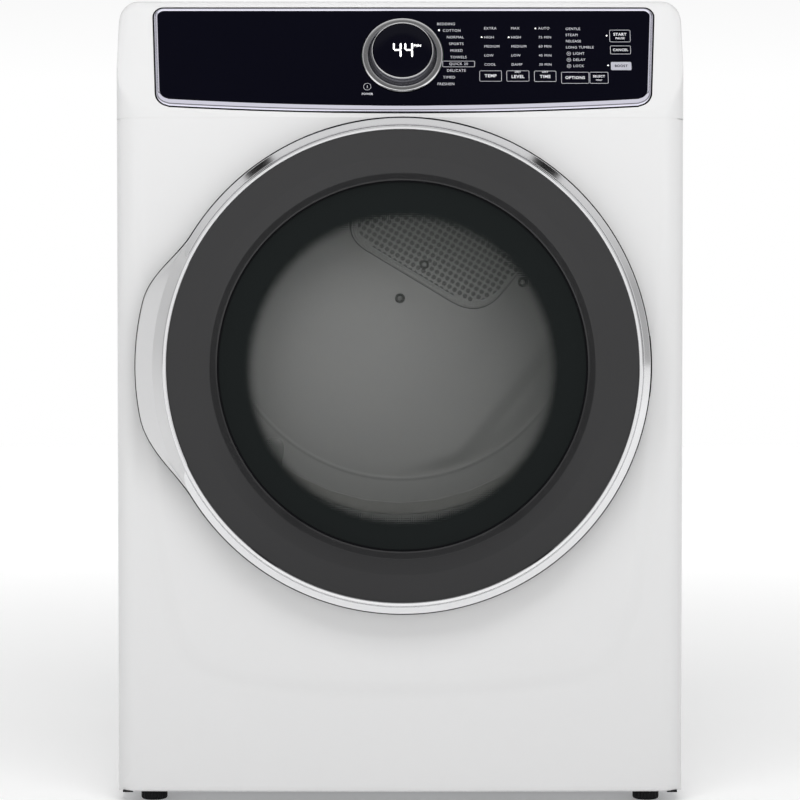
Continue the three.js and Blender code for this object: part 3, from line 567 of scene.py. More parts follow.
def front_panel():
    """Crowned sheet from the round door opening out to the cabinet's edges."""
    around, across = 480, 72
    high = Vector((PANEL_HIGH.x, PANEL_HIGH.y, CONSOLE_LOW.z - 0.06))
    cos, sin, reach = rays(DOOR_X, DOOR_Z, around, PANEL_LOW, high)
    rings = []
    for i in range(across + 1):
        t = i / across
        radius = OPENING_RADIUS + (reach - OPENING_RADIUS) * (1 - (1 - t) ** 1.15)
        x, z = DOOR_X + radius * cos, DOOR_Z + radius * sin
        rings.append(list(zip(x, front_surface(x, z), z)))
    rim = [(x, y + 9, z) for x, y, z in rings[0]]
    panel = thickened(loft("front_panel_skin", [rim] + rings, closed=False), 1.2)
    catch_slot = block("slot", (-268, -380, DOOR_Z - 11), (-252, -350, DOOR_Z + 11))
    hinge_slot = block("slot", (285.5, -380, DOOR_Z - 17), (299, -350, DOOR_Z + 17))
    return place(carved(panel, catch_slot, hinge_slot), "cabinet", "white_enamel", "enamel", "front_panel")


def console_profile():
    """Side view of the console's skin from the fold up the slope, over the brow and back."""
    run, brow = 150, 9
    top = CONSOLE_HIGH.z
    along, up = math.sin(TILT), math.cos(TILT)
    slope = [(FRONT_Y + s * along, CONSOLE_LOW.z + s * up) for s in np.linspace(0, run - brow, 40)]
    start = Vector((FRONT_Y + (run - brow) * along, CONSOLE_LOW.z + (run - brow) * up))
    peak = Vector((start.x + (top - start.y) * math.tan(TILT) * 0.8, top))
    end = Vector((peak.x + brow, top))
    steps = np.linspace(0, 1, 10)
    curve = [tuple((1 - t) ** 2 * start + 2 * t * (1 - t) * peak + t * t * end) for t in steps]
    back = [(y, top) for y in np.linspace(end.x, CONSOLE_HIGH.y, 5)[1:]]
    return slope + curve[1:] + back


def console_frame():
    """White skin round the console glass, running into the crowned front and rounded shoulders."""
    height = CONSOLE_HIGH.z - CONSOLE_LOW.z
    edge = np.concatenate([np.linspace(0, 0.9, 40), np.sin(np.linspace(1.12, math.pi / 2, 22))])
    columns = HALF_WIDTH * np.concatenate([-edge[::-1], edge[1:]])
    shoulder = np.clip(np.abs(columns) - (HALF_WIDTH - SHOULDER), 0, SHOULDER)
    drop = SHOULDER - np.sqrt(SHOULDER ** 2 - shoulder ** 2)
    rings = []
    for y, z in console_profile():
        lower = CONSOLE_LOW.z + (z - CONSOLE_LOW.z) * (1 - drop / height)
        edge_y = raised_front(columns, np.full_like(columns, min(z, CONSOLE_HIGH.z)))
        blend = 0.6 * np.exp(-np.abs(edge_y - y) / 1.6) * min(1, (z - CONSOLE_LOW.z) / 4)
        forward = np.minimum(np.maximum(edge_y, y) + blend, CONSOLE_HIGH.y)
        row = list(zip(columns, forward, lower))
        left = [(-HALF_WIDTH, yy, row[0][2]) for yy in np.linspace(CONSOLE_HIGH.y, row[0][1], 5)[:-1]]
        right = [(HALF_WIDTH, yy, row[-1][2]) for yy in np.linspace(row[-1][1], CONSOLE_HIGH.y, 5)[1:]]
        rings.append(left + row + right)
    bm = bmesh.new()
    grid = [[bm.verts.new(p) for p in ring] for ring in rings]
    for a, b in zip(grid, grid[1:]):
        for i in range(len(a) - 1):
            bm.faces.new((a[i], a[i + 1], b[i + 1], b[i]))
    skin = thickened(new_object("console_skin", bm, 40), 1.6, 40)
    for vertex in skin.data.vertices:
        vertex.co.x = max(-HALF_WIDTH * MM, min(HALF_WIDTH * MM, vertex.co.x))
    hole = extruded("hole", console_outline(GAP), "Z", -40, 40, transform=console_plane())
    return place(carved(skin, hole, smooth_angle=40), "cabinet", "white_enamel", "enamel", "console_frame")


def top_panel():
    """Flat top with rounded shoulders and a soft front edge."""
    radius = SHOULDER
    x, z = HALF_WIDTH - radius, TOP_HIGH.z - radius
    outer = arc(x, z, radius, 0, 90, 16) + arc(-x, z, radius, 90, 180, 16)
    inner = [(u * (1 - 1.5 / HALF_WIDTH), v - 1.5) for u, v in reversed(outer)]
    low = TOP_LOW.z
    outline = [(HALF_WIDTH, low)] + outer + [(-HALF_WIDTH, low), (-HALF_WIDTH + 1.5, low)]
    outline += inner + [(HALF_WIDTH - 1.5, low)]
    skin = extruded("top_skin", outline, "Y", TOP_LOW.y, TOP_HIGH.y - 1.6, bevel=0.5)
    end = [(HALF_WIDTH, low)] + outer + [(-HALF_WIDTH, low)]
    rear = extruded("rear", end, "Y", TOP_HIGH.y - 1.5, TOP_HIGH.y, 0.4)
    return place(joined("top_panel_skin", [skin, rear]), "cabinet", "white_enamel", "enamel", "top_panel")


def foot_grip(name, centre, radius, top):
    """Ribbed grip of a levelling foot, standing on the floor."""
    ribs = 22
    steps = ribs * 8
    rings = []
    for shrink, z in ((3.0, 0), (1.0, 0.6), (0.4, 1.6), (0, 2.6), (0, 9.6), (0.6, 10.8), (2.0, top)):
        ring = []
        for i in range(steps):
            angle = 2 * math.pi * i / steps
            rib = 0.9 * (0.5 - 0.5 * math.cos(ribs * angle)) ** 2
            r = radius - shrink - (rib if 0 < z < top else 0)
            ring.append((centre.x + r * math.cos(angle), centre.y + r * math.sin(angle), z))
        rings.append(ring)
    return loft(name, rings, closed=False, capped=True)


def foot_thread(name, centre, base, top):
    """Threaded stud above a foot's grip, its thread turned as separate ridges."""
    pitch, stud = 1.5, 5.0
    profile = [(0, base)]
    for i in range(int((top - base) / pitch)):
        turn = base + i * pitch
        profile += [(stud - 0.8, turn + 0.2), (stud, turn + 0.95)]
    profile.append((0, top))
    return turned(name, profile, (centre.x, centre.y, 0), "Z", 32)


def levelling_feet():
    """Ribbed grips on threaded studs, and a small black block in each lower corner of the front as painted
    shade of the slots there.
    """
    grip_top, slot_shade_x = 11.5, 331
    for node in ("front_left_foot", "front_right_foot", "rear_left_foot", "rear_right_foot"):
        low, high = box_mm(node)
        centre = (low + high) / 2
        grip = foot_grip(node + "_grip", centre, (high.x - low.x) / 2, grip_top)
        screw = foot_thread(node + "_thread", centre, grip_top, high.z)
        place(joined(node + "_piece", [grip, screw]), node, "black_plastic", "black_plastic", node)
    # black blocks under the lower corners: painted shade of the slots there
    for side, x in (("left", -slot_shade_x), ("right", slot_shade_x)):
        slot_shade = block(f"corner_slot_shade_{side}", (x - 6, PANEL_LOW.y + 16, PANEL_LOW.z - 1.4),
                     (x + 6, PANEL_LOW.y + 26, PANEL_LOW.z + 1.0), 0.3)
        place(slot_shade, "cabinet", "black_plastic", "black_plastic")


# ------------------------------------------------------------------ console
def console_plane():
    """From the console's own plane (right, up the slope, outwards) to the frame, in millimetres."""
    corner = Matrix.Translation((DOOR_X, FRONT_Y, CONSOLE_LOW.z))
    return corner @ Matrix.Rotation(math.pi / 2 - TILT, 4, "X")


def console_outline(grow):
    """Wide outline with rounded corners, a lower edge bowed down and sides that spread upwards."""
    side, over, under = (grow, grow, grow) if grow > 0 else (0.8 * grow, 0.6 * grow, 1.65 * grow)
    half, bottom, top, bow, flare, shift = 300.4 + side, 7.3 - under, 145 + over, 9.4, 0.058, 1.2
    lower, upper = 15 + side, 12 + side
    base, crest = bottom + bow + lower, top - upper
    sill = [(x, bottom + bow * (x / half) ** 2) for x in np.linspace(lower - half, half - lower, 41)]
    right = arc(half - lower, base, lower, -78, 0, 10) + arc(half - upper, crest, upper, 0, 90, 10)
    left = arc(upper - half, crest, upper, 90, 180, 10) + arc(lower - half, base, lower, 180, 258, 10)
    return [(u * (1 + flare * (v - 75) / 301.5) + shift, v) for u, v in sill + right + left]


def console_loft(name, section):
    """A rim round the console glass, from a section of (outline growth, height)."""
    rings = [[(u, v, n) for u, v in console_outline(grow)] for grow, n in section]
    return loft(name, rings, transform=console_plane(), smooth_angle=40)


def console_bezel():
    """Bright rim of the console glass, and a black strip in the gap outside it as painted shadow."""
    bezel = console_loft("console_bezel_ring", [
        (0, -7), (0, 0.2), (-0.4, 0.9), (-1.1, 1.3), (-2.2, 1.2), (-4.6, 0.3), (-5.2, -0.1), (-5.5, -0.6),
        (-5.5, -7),
    ])
    place(bezel, "cabinet", "chrome_trim", "console_chrome", "console_bezel")
    # black strip filling the gap round the glass: painted shadow of the gap
    gap_shade = console_loft("console_gap_shade", [(0.06, -6.5), (0.06, -0.5), (GAP, -0.5), (GAP, -6.5)])
    place(gap_shade, "cabinet", "rubber", "painted_shade_black")


def dial_turned(name, profile, segments=128):
    """A profile turned about the dial's axis, which stands out of the console."""
    return turned(name, profile, (0, DIAL_UP, 0), "Z", segments, transform=console_plane())


def console_glass():
    """Dark pane with a round hole for the dial."""
    pane = extruded("console_pane", console_outline(-5.7), "Z", -4, 0.1, bevel=0.3, transform=console_plane())
    hole = dial_turned("hole", [(0, -20), (50, -20), (50, 10), (0, 10)], 96)
    place(carved(pane, hole), "cabinet", "black_glass", "black_glass", "console_glass")


def dial():
    """Turning ring with its skirt and wall, and the fixed display disc inside it."""
    ring = dial_turned("dial_base_ring", filleted([
        (41.4, -2.8, 0), (49.2, -2.8, 0), (49.2, 1.2, 0.8), (47.8, 2.9, 1.2), (42.3, 2.9, 0.8),
        (41.4, 1.6, 0.4),
    ]))
    place(ring, "dial", "chrome_trim", "chrome", "dial_ring")
    skirt = dial_turned("dial_skirt", filleted([
        (36.0, -2.5, 0), (40.7, -2.5, 0), (40.7, 0.8, 0.4), (39.2, 3.0, 1.0), (38.2, 9.0, 1.5),
        (37.2, 11.8, 0.6), (36.0, 11.8, 0.3),
    ]))
    place(skirt, "dial", "chrome_trim", "skirt")
    rim = dial_turned("dial_rim", filleted([
        (35.9, 11.0, 0), (37.3, 12.0, 0.3), (37.0, 13.6, 0.5), (36.2, 14.0, 0.4), (35.9, 13.4, 0.2),
    ]))
    place(rim, "dial", "chrome_trim", "chrome")
    lens = dial_turned("display_disc", [
        (0, -12), (30, -12), (30, -4), (35.2, -3.5), (35.5, 12.6), (35.1, 13.3), (34, 13.6), (20, 14.0),
        (0, 14.2),
    ])
    place(lens, "cabinet", "black_glass", "black_glass", "display_lens")


def segment_digits():
    """Seven-segment figures standing just proud of the display disc."""
    width, height, thick, proud = 8.2, 19.0, 2.0, 14.25
    bars = []

    def bar(x0, y0, x1, y1):
        along = Vector((x1 - x0, y1 - y0)).normalized() * thick / 2
        side = Vector((-along.y, along.x))
        a, b = Vector((x0, y0)) + along * 0.4, Vector((x1, y1)) - along * 0.4
        outline = [a, a + along + side, b - along + side, b, b - along - side, a + along - side]
        bars.append(extruded("bar", [tuple(p) for p in outline], "Z", proud - 0.3, proud,
                             transform=console_plane()))

    for left in (-10.4, 3.4):
        right, mid, base = left + width, DIAL_UP, DIAL_UP - height / 2
        bar(left, mid, left, base + height)
        bar(left, mid, right, mid)
        bar(right, mid, right, base + height)
        bar(right, base, right, mid)
    place(joined("display_digits", bars), "cabinet", "white_plastic", "lit")


# ------------------------------------------------------------------ console print
def lettering(text, x, y, height, bold=False, centred=False):
    """A plain caption lying on the console glass, as flat filled letters of a height in millimetres."""
    cap_height = 0.72                           # height of a capital, as a share of the type's size
    curve = bpy.data.curves.new("caption", "FONT")
    curve.body = text
    curve.size = height / cap_height
    curve.align_x = "CENTER" if centred else "LEFT"
    curve.align_y = "CENTER"
    curve.offset = 0.035 * height if bold else 0.0
    curve.space_character = 1.12
    curve.resolution_u = 3
    holder = bpy.data.objects.new("caption", curve)
    bpy.context.scene.collection.objects.link(holder)
    depsgraph = bpy.context.evaluated_depsgraph_get()
    bm = bmesh.new()
    bm.from_mesh(bpy.data.meshes.new_from_object(holder.evaluated_get(depsgraph)))
    bpy.data.objects.remove(holder)
    bm.transform(Matrix.Translation((x, y, 0)))
    return bm


class Print:
    """Collects flat marks on the console glass into one piece."""

    height = 0.28                               # above the console's plane
    rise = 1.5                                  # how far all marks are moved up the slope

    def __init__(self, name, material):
        self.name, self.material, self.bm = name, material, bmesh.new()

    def face(self, points):
        self.bm.faces.new([self.bm.verts.new((u, v, self.height)) for u, v in points])

    def text(self, *args, **kwargs):
        letters = lettering(*args, **kwargs)
        letters.transform(Matrix.Translation((0, 0, self.height)))
        mesh = bpy.data.meshes.new("letters")
        letters.to_mesh(mesh)
        letters.free()
        self.bm.from_mesh(mesh)
        bpy.data.meshes.remove(mesh)

    def dot(self, x, y, radius):
        self.face(arc(x, y, radius, 0, 345, 23))

    def outline(self, x0, y0, x1, y1, radius=1.6, line=0.45):
        outer = self.rounded(x0, y0, x1, y1, radius)
        inner = self.rounded(x0 + line, y0 + line, x1 - line, y1 - line, radius - line)
        for i in range(len(outer)):
            j = (i + 1) % len(outer)
            self.face((outer[i], outer[j], inner[j], inner[i]))

    def filled(self, x0, y0, x1, y1, radius=1.6):
        self.face(self.rounded(x0, y0, x1, y1, radius))

    def loop(self, x, y, radius, line):
        steps = 32
        outer = arc(x, y, radius, 0, 360, steps)
        inner = arc(x, y, radius - line, 0, 360, steps)
        for i in range(steps):
            self.face((outer[i], outer[i + 1], inner[i + 1], inner[i]))

    @staticmethod
    def rounded(x0, y0, x1, y1, r):
        return (arc(x1 - r, y1 - r, r, 0, 90, 5) + arc(x0 + r, y1 - r, r, 90, 180, 5)
                + arc(x0 + r, y0 + r, r, 180, 270, 5) + arc(x1 - r, y0 + r, r, 270, 360, 5))

    def finish(self):
        bmesh.ops.recalc_face_normals(self.bm, faces=self.bm.faces)
        outward = sum(face.normal.z for face in self.bm.faces)
        if outward < 0:
            bmesh.ops.reverse_faces(self.bm, faces=self.bm.faces)
        self.bm.transform(Matrix.Scale(MM, 4) @ console_plane() @ Matrix.Translation((0, self.rise, 0)))
        mesh = bpy.data.meshes.new(self.name)
        self.bm.to_mesh(mesh)
        self.bm.free()
        obj = bpy.data.objects.new(self.name, mesh)
        bpy.context.scene.collection.objects.link(obj)
        return place(obj, "cabinet", "white_plastic", self.material)


def cycle_list(marks):
    """Programme names fanned round the right side of the dial, and a frame round the seventh."""
    names = ["BEDDING", "COTTON", "NORMAL", "SPORTS", "MIXED", "TOWELS", "QUICK 20", "DELICATE", "TIMED",
             "FRESHEN"]
    reach, pitch, half_frame = 58, 8.9, 4.0
    for i, name in enumerate(names):
        rise = (4.5 - i) * pitch
        marks.text(name, math.sqrt(reach ** 2 - rise ** 2), DIAL_UP + rise, 3.4)
    framed = DIAL_UP - 1.5 * pitch
    marks.outline(48.5, framed - half_frame, 87.5, framed + half_frame, 1.2)


def setting_columns(marks):
    """Three columns of settings above their keys."""
    first, pitch = 116.7, 12.1
    columns = [
        (99.0, ["EXTRA", "HIGH", "MEDIUM", "LOW", "COOL"]),
        (131.7, ["MAX", "HIGH", "MEDIUM", "LOW", "DAMP"]),
        (165.0, ["AUTO", "75 MIN", "60 MIN", "45 MIN", "30 MIN"]),
    ]
    for x, rows in columns:
        for i, row in enumerate(rows):
            marks.text(row, x, first - i * pitch, 3.3)


def option_list(marks):
    """Options at the right, the last three with a small ring and dot before them."""
    first, pitch, plain_x, ringed_x, ring_x = 116, 8.27, 198, 206.4, 201.4
    options = ["GENTLE", "STEAM", "RELEASE", "LONG TUMBLE", "LIGHT", "DELAY", "LOCK"]
    ringed = range(4, len(options))
    for i, option in enumerate(options):
        marks.text(option, ringed_x if i in ringed else plain_x, first - i * pitch, 3.3)
    for i in ringed:
        marks.loop(ring_x, first - i * pitch, 2.5, 0.4)
        marks.dot(ring_x, first - i * pitch, 0.7)


KEY_FRAMES = [
    (93, 119.8, 46, 60.3), (125.7, 153, 46, 60.3), (159, 185.6, 45.6, 60), (191.7, 225.2, 43.2, 58.4),
    (226.0, 248.5, 43.2, 58.4), (251.3, 276.6, 98.4, 114.7), (251.7, 276.6, 82.2, 93.5),
]
KEY_CAPTIONS = [
    ("TEMP", 106.4, 53.2, 4.0), ("DRY", 139.3, 58.6, 2.6), ("LEVEL", 139.3, 52.2, 4.0),
    ("DRY", 172.3, 58.6, 2.6), ("TIME", 172.3, 52.2, 4.0), ("OPTIONS", 208.4, 50.8, 3.7),
    ("SELECT", 237.2, 52.6, 2.9), ("HOLD", 237.2, 47.8, 1.8), ("START", 264, 108.6, 3.6),
    ("PAUSE", 264, 103.4, 2.6), ("CANCEL", 264.2, 87.8, 3.2),
]
LIGHTS = [
    (44.3, 114.2, 1.0), (96.1, 104.8, 0.8), (128.9, 104.8, 0.8), (161.5, 116.7, 0.8), (247.8, 107, 0.8),
    (248.7, 67.2, 0.8),
]


def console_print():
    """Generic words, key frames and small lights on the glass, placed by (across, up the slope)."""
    marks = Print("console_print", "print")
    cycle_list(marks)
    setting_columns(marks)
    option_list(marks)
    marks.loop(-42.4, 39.1, 4.7, 0.45)
    marks.filled(-42.7, 37.2, -42.1, 41.0, 0.25)
    marks.text("POWER", -42.4, 29.3, 2.6, bold=True, centred=True)
    marks.finish()
    keys = Print("console_keys", "print")
    for x0, x1, y0, y1 in KEY_FRAMES:
        keys.outline(x0, y0, x1, y1)
    keys.finish()
    bright = Print("console_captions", "print_bright")
    for label, x, y, size in KEY_CAPTIONS:
        bright.text(label, x, y, size, bold=True, centred=True)
    bright.finish()
    pad = Print("console_boost_key", "key_grey")
    pad.filled(252, 61, 276.8, 71.8)
    pad.finish()
    dark = Print("console_dark_caption", "black_glass")
    dark.height = 0.4
    dark.text("BOOST", 264.4, 66.4, 3.2, bold=True, centred=True)
    dark.finish()
    lights = Print("console_lights", "lit")
    for x, y, radius in LIGHTS:
        lights.dot(x, y, radius)
    lights.finish()
    unit = Print("display_unit", "lit")
    unit.height, unit.rise = 14.2, 0
    unit.text("MIN", 13.4, DIAL_UP + 5.6, 3.4)
    unit.finish()


# ------------------------------------------------------------------ door
def door_trim():
    """Bright outer band of the door, hollow behind and notched for the hinge, and a black strip round it as
    painted shade of the gap.
    """
    o = BAND_RADIUS
    back = TRIM_HIGH.y
    profile = filleted([
        (o - 9.2, back, 0), (o - 9.2, -401.2, 0.5), (o - 8.0, -402.2, 0.6), (o - 4.2, -399.8, 5),
        (o - 0.6, -397.3, 0.8), (o, -396.0, 0.8), (o, back, 0.6), (o - 2.4, back, 0), (o - 2.4, -395.0, 0),
        (o - 6.6, -398.2, 0), (o - 7.6, -398.2, 0), (o - 7.6, back, 0),
    ])
    band = turned("door_trim_band", profile, DOOR_CENTRE, "Y", 256)
    place(carved(band, hinge_notch()), "door", "chrome_trim", "chrome", "door_trim_ring")
    # the black strip just outside the band, widening along the ear, is painted shade of the gap between door
    # and front
    inner, front, rear, steps = o - 2.3, -383.1, -380.6, 240
    sections = []
    for i in range(steps):
        angle = i * 360 / steps
        rise = ear_rise(angle) if EAR_START < angle < EAR_END else 0
        edge = o + 2.5 + rise - 0.4 * min(1, rise / 6)
        sections.append(ring_section(angle, ((inner, front), (edge, front), (edge, rear), (inner, rear))))
    shadow = loft("door_edge_strip", sections, smooth_angle=40)
    place(carved(shadow, hinge_notch()), "door", "rubber", "painted_shade_black")


def hinge_notch():
    """Cutter for the gap in the door's edge beside the hinge."""
    return block("notch", (DOOR_X + 276, -390.5, DOOR_Z - 30), (DOOR_X + 320, -360, DOOR_Z + 30))


def hinge_shadow():
    """Black sheet behind the hinge notch: painted shade standing for the door's shadow gap there."""
    inner = arc(DOOR_X, DOOR_Z, BAND_RADIUS - 3, -7, 7, 14)
    outer = arc(DOOR_X, DOOR_Z, BAND_RADIUS + 5.0, 7, -7, 14)
    face = float(raised_front(np.array([BAND_RADIUS]), np.array([DOOR_Z]))[0])
    notch_shade = extruded("hinge_notch_shade", inner + outer, "Y", face - 0.9, face + 0.6, bevel=0.2)
    place(notch_shade, "cabinet", "rubber", "painted_shade_black")


def ear_rise(angle):
    """Height of the handle ear beyond the ring, at an angle in degrees from the right."""
    return EAR_RISE * float(smooth((angle - EAR_START) / 18) * smooth((EAR_END - angle) / 21))


def door_ear():
    """Handle ear: the band's outer slope drawn out into a flat grip on the left."""
    steps = 128
    sections = []
    for i in range(steps + 1):
        angle = EAR_START - 1 + i * (EAR_END - EAR_START + 2) / steps
        rise = ear_rise(angle)
        rim = BAND_RADIUS + rise
        lift = float(smooth(rise / 8))
        inner = BEZEL_RADIUS + 0.2 - 5.3 * lift
        front = -396.7 + 1.2 * lift
        section = filleted([
            (inner, -400.4 - 6.05 * lift, 0), (BAND_RADIUS - 1.6 + 4.0 * lift, -397.8 - 0.4 * lift, 3),
            (rim - 1.9 - 2.0 * lift, front, 1.2), (rim - 0.9, front + 0.5, 0.6), (rim, front + 2.2, 1.2),
            (rim, -384.4, 1.0), (rim - 1.6, -383.2, 1.0), (BAND_RADIUS - 4, -383.2, 0), (inner, -399.4, 0),
        ], 4)
        sections.append(ring_section(angle, section))
    ear = loft("door_handle_ear", sections, closed=False, capped=True, smooth_angle=50)
    place(ear, "door", "chrome_trim", "satin")


def door_bezel():
    """Dark glossy ring sloping in to the window, with a bright lip round its front."""
    w, o = WINDOW_RADIUS, BEZEL_RADIUS
    profile = filleted([
        (w, -378, 0), (w, -385.2, 0.8), (w + 1.8, -386.2, 0.6), (w + 8.6, -394.6, 3.0), (w + 27, -398.8, 10),
        (o - 6.2, -403.9, 2.5), (o - 5.4, -404.4, 0.4), (o - 5.2, -404.2, 0), (o - 5.2, -400.5, 0),
        (o - 10, -400.2, 0), (w + 11, -391.4, 0), (w + 6, -383.4, 0), (w + 5, -378, 0),
    ])
    ring = turned("door_dark_ring", profile, DOOR_CENTRE, "Y", 256)
    place(ring, "door", "dark_gloss", "dark", "door_bezel")
    lip = turned("door_bright_lip", filleted([
        (o - 5.1, -378, 0), (o - 5.1, -404.8, 0.3), (o - 4.2, -406.4, 0.9), (o - 1.2, -406.4, 1.2),
        (o, -404.6, 1.0), (o, -378, 0),
    ]), DOOR_CENTRE, "Y", 256)
    place(carved(lip, hinge_notch()), "door", "chrome_trim", "chrome")


def door_glazing():
    """Curved window with its bead, black as painted shade along its edge, and the clear bowl behind it."""
    r, bulge = WINDOW_RADIUS - 0.6, 3.6
    front = [(r * t, -384 + bulge * t * t) for t in np.linspace(0, 1, 24)]
    back = [(r * t, -380 + bulge * t * t) for t in np.linspace(1, 0, 24)]
    pane = turned("door_window", front + back, DOOR_CENTRE, "Y", 192)
    place(pane, "door", "door_glass", "window", "door_glass")
    bead = turned("window_bead", filleted([
        (r - 1.1, -378.6, 0.2), (r - 1.1, -382.4, 0.5), (r + 0.5, -383.0, 0.5), (r + 0.5, -378.6, 0.2),
    ]), DOOR_CENTRE, "Y", 192)
    # the bead's black is painted shade along the window's edge
    place(bead, "door", "rubber", "painted_shade_black")
    flat, face_y, inner_y = 150, -339, -335.2
    wall = filleted([
        (flat, inner_y, 0), (168, -338, 12), (183, -352, 12), (191, -370.8, 3), (203.8, -371.3, 1),
        (203.8, -375.2, 1), (188, -375.2, 2), (179, -354, 12), (165, -342, 12), (flat, face_y, 0),
    ])
    face = [(x, face_y) for x in np.linspace(flat, 0, 6)]
    inner = [(x, inner_y) for x in np.linspace(0, flat, 6)]
    profile = face + inner + wall[1:wall.index((flat, face_y))]
    bowl = turned("door_inner_bowl", profile, DOOR_CENTRE, "Y", 160)
    place(bowl, "door", "door_glass", "bowl", "door_bowl")


def door_gasket():
    """Rubber lip round the opening that the door closes on."""
    low, high = box_mm("door_seal")
    outer = (high.x - low.x) / 2
    lip = turned("door_gasket", filleted([
        (outer, low.y, 0.6), (outer, high.y - 1, 0.8), (outer - 3, high.y, 1), (outer - 5.5, high.y - 1.5, 1),
        (outer - 8, low.y + 1, 0.6), (outer - 8, low.y, 0.3),
    ]), DOOR_CENTRE, "Y", 128)
    place(lip, "door", "rubber", "rubber", "door_seal")


# ------------------------------------------------------------------ drum
def drum_shell():
    """Rolled steel drum with pressed beads."""
    r, wall = DRUM_RADIUS, 1.2
    low, high = DRUM_LOW.y, DRUM_HIGH.y
    stations = np.linspace(low, high, 160)
    bead = sum(1.8 * np.exp(-((stations - y) / 5.0) ** 2) for y in (low + 60, low + 78, high - 78, high - 60))
    outer = [(r - b, y) for b, y in zip(bead, stations)]
    inner = [(r - wall - b, y) for b, y in zip(bead[::-1], stations[::-1])]
    shell = turned("drum_skin", outer + inner, DRUM_CENTRE, "Y", 192)
    place(shell, "drum", "drum_steel", "steel", "drum_shell")


def baffle_section(half, tall, y):
    """One loop of a lifter: its rounded ridge, and back along the drum's skin."""
    base, lap = DRUM_RADIUS - 3.2, 0.5

    def floor(x):
        return math.sqrt(base ** 2 - x ** 2)

    ridge = [(half * u, y, tall * math.cos(u * math.pi / 2) ** 1.6 - floor(half * u))
             for u in np.linspace(-1, 1, 21)]
    foot = [(half * u, y, -floor(half * u) - lap) for u in np.linspace(0.99, -0.99, 7)]
    return ridge + foot


def drum_baffles():
    """Three lifters, each a rounded ridge that draws in towards its ends."""
    front, back, half, tall = -255, 300, 42, 50
    for number, angle in enumerate((40, 160, 280), 1):
        rings = []
        for t in np.linspace(0, 1, 25):
            from_end = min(t, 1 - t) * (back - front)
            swell = float(smooth(0.25 + from_end / 70))
            rings.append(baffle_section(half * (0.55 + 0.45 * swell), tall * (0.35 + 0.65 * swell),
                                        front + (back - front) * t))
        turn = Matrix.Translation(DRUM_CENTRE) @ Matrix.Rotation(math.radians(angle), 4, "Y")
        baffle = loft(f"drum_lifter_{number}", rings, closed=False, capped=True, transform=turn)
        place(baffle, "drum", "white_plastic", "lifter", f"drum_baffle_{number}")


def inlet_outline(grow):
    """Fan-shaped outline of the warm-air inlet: slanted straight edge, round corners, outer arc."""
    chord, outer, spread, shoulder = INLET_CHORD - grow, 230 + grow, 118 + grow, 140
    start = math.degrees(math.acos(shoulder / outer))
    crest = arc(0, 0, outer, start, 180 - start, 24)
    right = [(spread, chord, 60), (*crest[0], 12)]
    left = [(*crest[-1], 12), (-spread, chord, 46)]
    points = filleted(right + [(u, v, 0) for u, v in crest[2:-2]] + left, 8)
    return [on_inlet(u, v) for u, v in points]


def on_inlet(u, v):
    """From the inlet's own axes, along and across its slanted edge, to x and z in the frame."""
    c, s = math.cos(INLET_SLOPE), math.sin(INLET_SLOPE)
    return u * c - v * s, u * s + v * c + DRUM_CENTRE.z


def rear_relief(x, z):
    """How far the rear wall is pressed forward: a bead near its rim, and a folded panel low on the right."""
    radius = math.hypot(x, z - DRUM_CENTRE.z)
    bead = 1.3 * math.exp(-((radius - 268) / 2.2) ** 2)
    across = (x - 165) * 0.784 - (z - 592) * 0.621
    fold = 8.0 * float(smooth(across / 66)) - 5.5 * float(smooth((across - 62) / 22))
    return bead + fold * float(smooth((262 - radius) / 20))


def rear_wall():
    """Still rear wall of the drum: pressed steel plate with a round bead, a fold and the warm-air inlet."""
    plain = 300                                 # beyond this radius the plate runs straight to its edge
    cos, sin, edge = rays(0, DRUM_CENTRE.z, 160, REAR_LOW, REAR_HIGH)
    radii = [0.5, *np.linspace(6, 258, 43), *np.linspace(260, 276, 17), 282, 290, plain]
    radii += [plain + (edge - plain) * t for t in (0.33, 0.66, 1.0)]
    rings = [[(x, REAR_WALL_Y + 0.4 - rear_relief(x, z), z) for x, z in
              zip(radius * cos, radius * sin + DRUM_CENTRE.z)] for radius in radii]
    plate = thickened(loft("rear_wall", rings, closed=False), 0.9)
    hole = extruded("hole", inlet_outline(-7), "Y", REAR_WALL_Y - 20, REAR_WALL_Y + 20)
    place(carved(plate, hole), "cabinet", "drum_steel", "bulkhead", "rear_bulkhead")
    for side in ("left", "right"):
        centre = middle(f"rear_{side}_roller")
        axle = turned(f"rear_{side}_axle", filleted([
            (0, 299, 0), (5.8, 299, 0.8), (5.8, REAR_WALL_Y, 0), (0, REAR_WALL_Y, 0),
        ]), (centre.x, 0, centre.z), "Y", 32)
        place(axle, "cabinet", "drum_steel", "steel")


def drill_through(holes, radius, front, back):
    """One cutter for many round holes along Y."""
    drill = bmesh.new()
    for x, z in holes:
        circle = arc(x, z, radius, 0, 330, 11)
        start = [drill.verts.new((u, front, v)) for u, v in circle]
        end = [drill.verts.new((u, back, v)) for u, v in circle]
        drill.faces.new(start)
        drill.faces.new(reversed(end))
        for i in range(len(start)):
            j = (i + 1) % len(start)
            drill.faces.new((start[j], start[i], end[i], end[j]))
    return new_object("drill", drill)


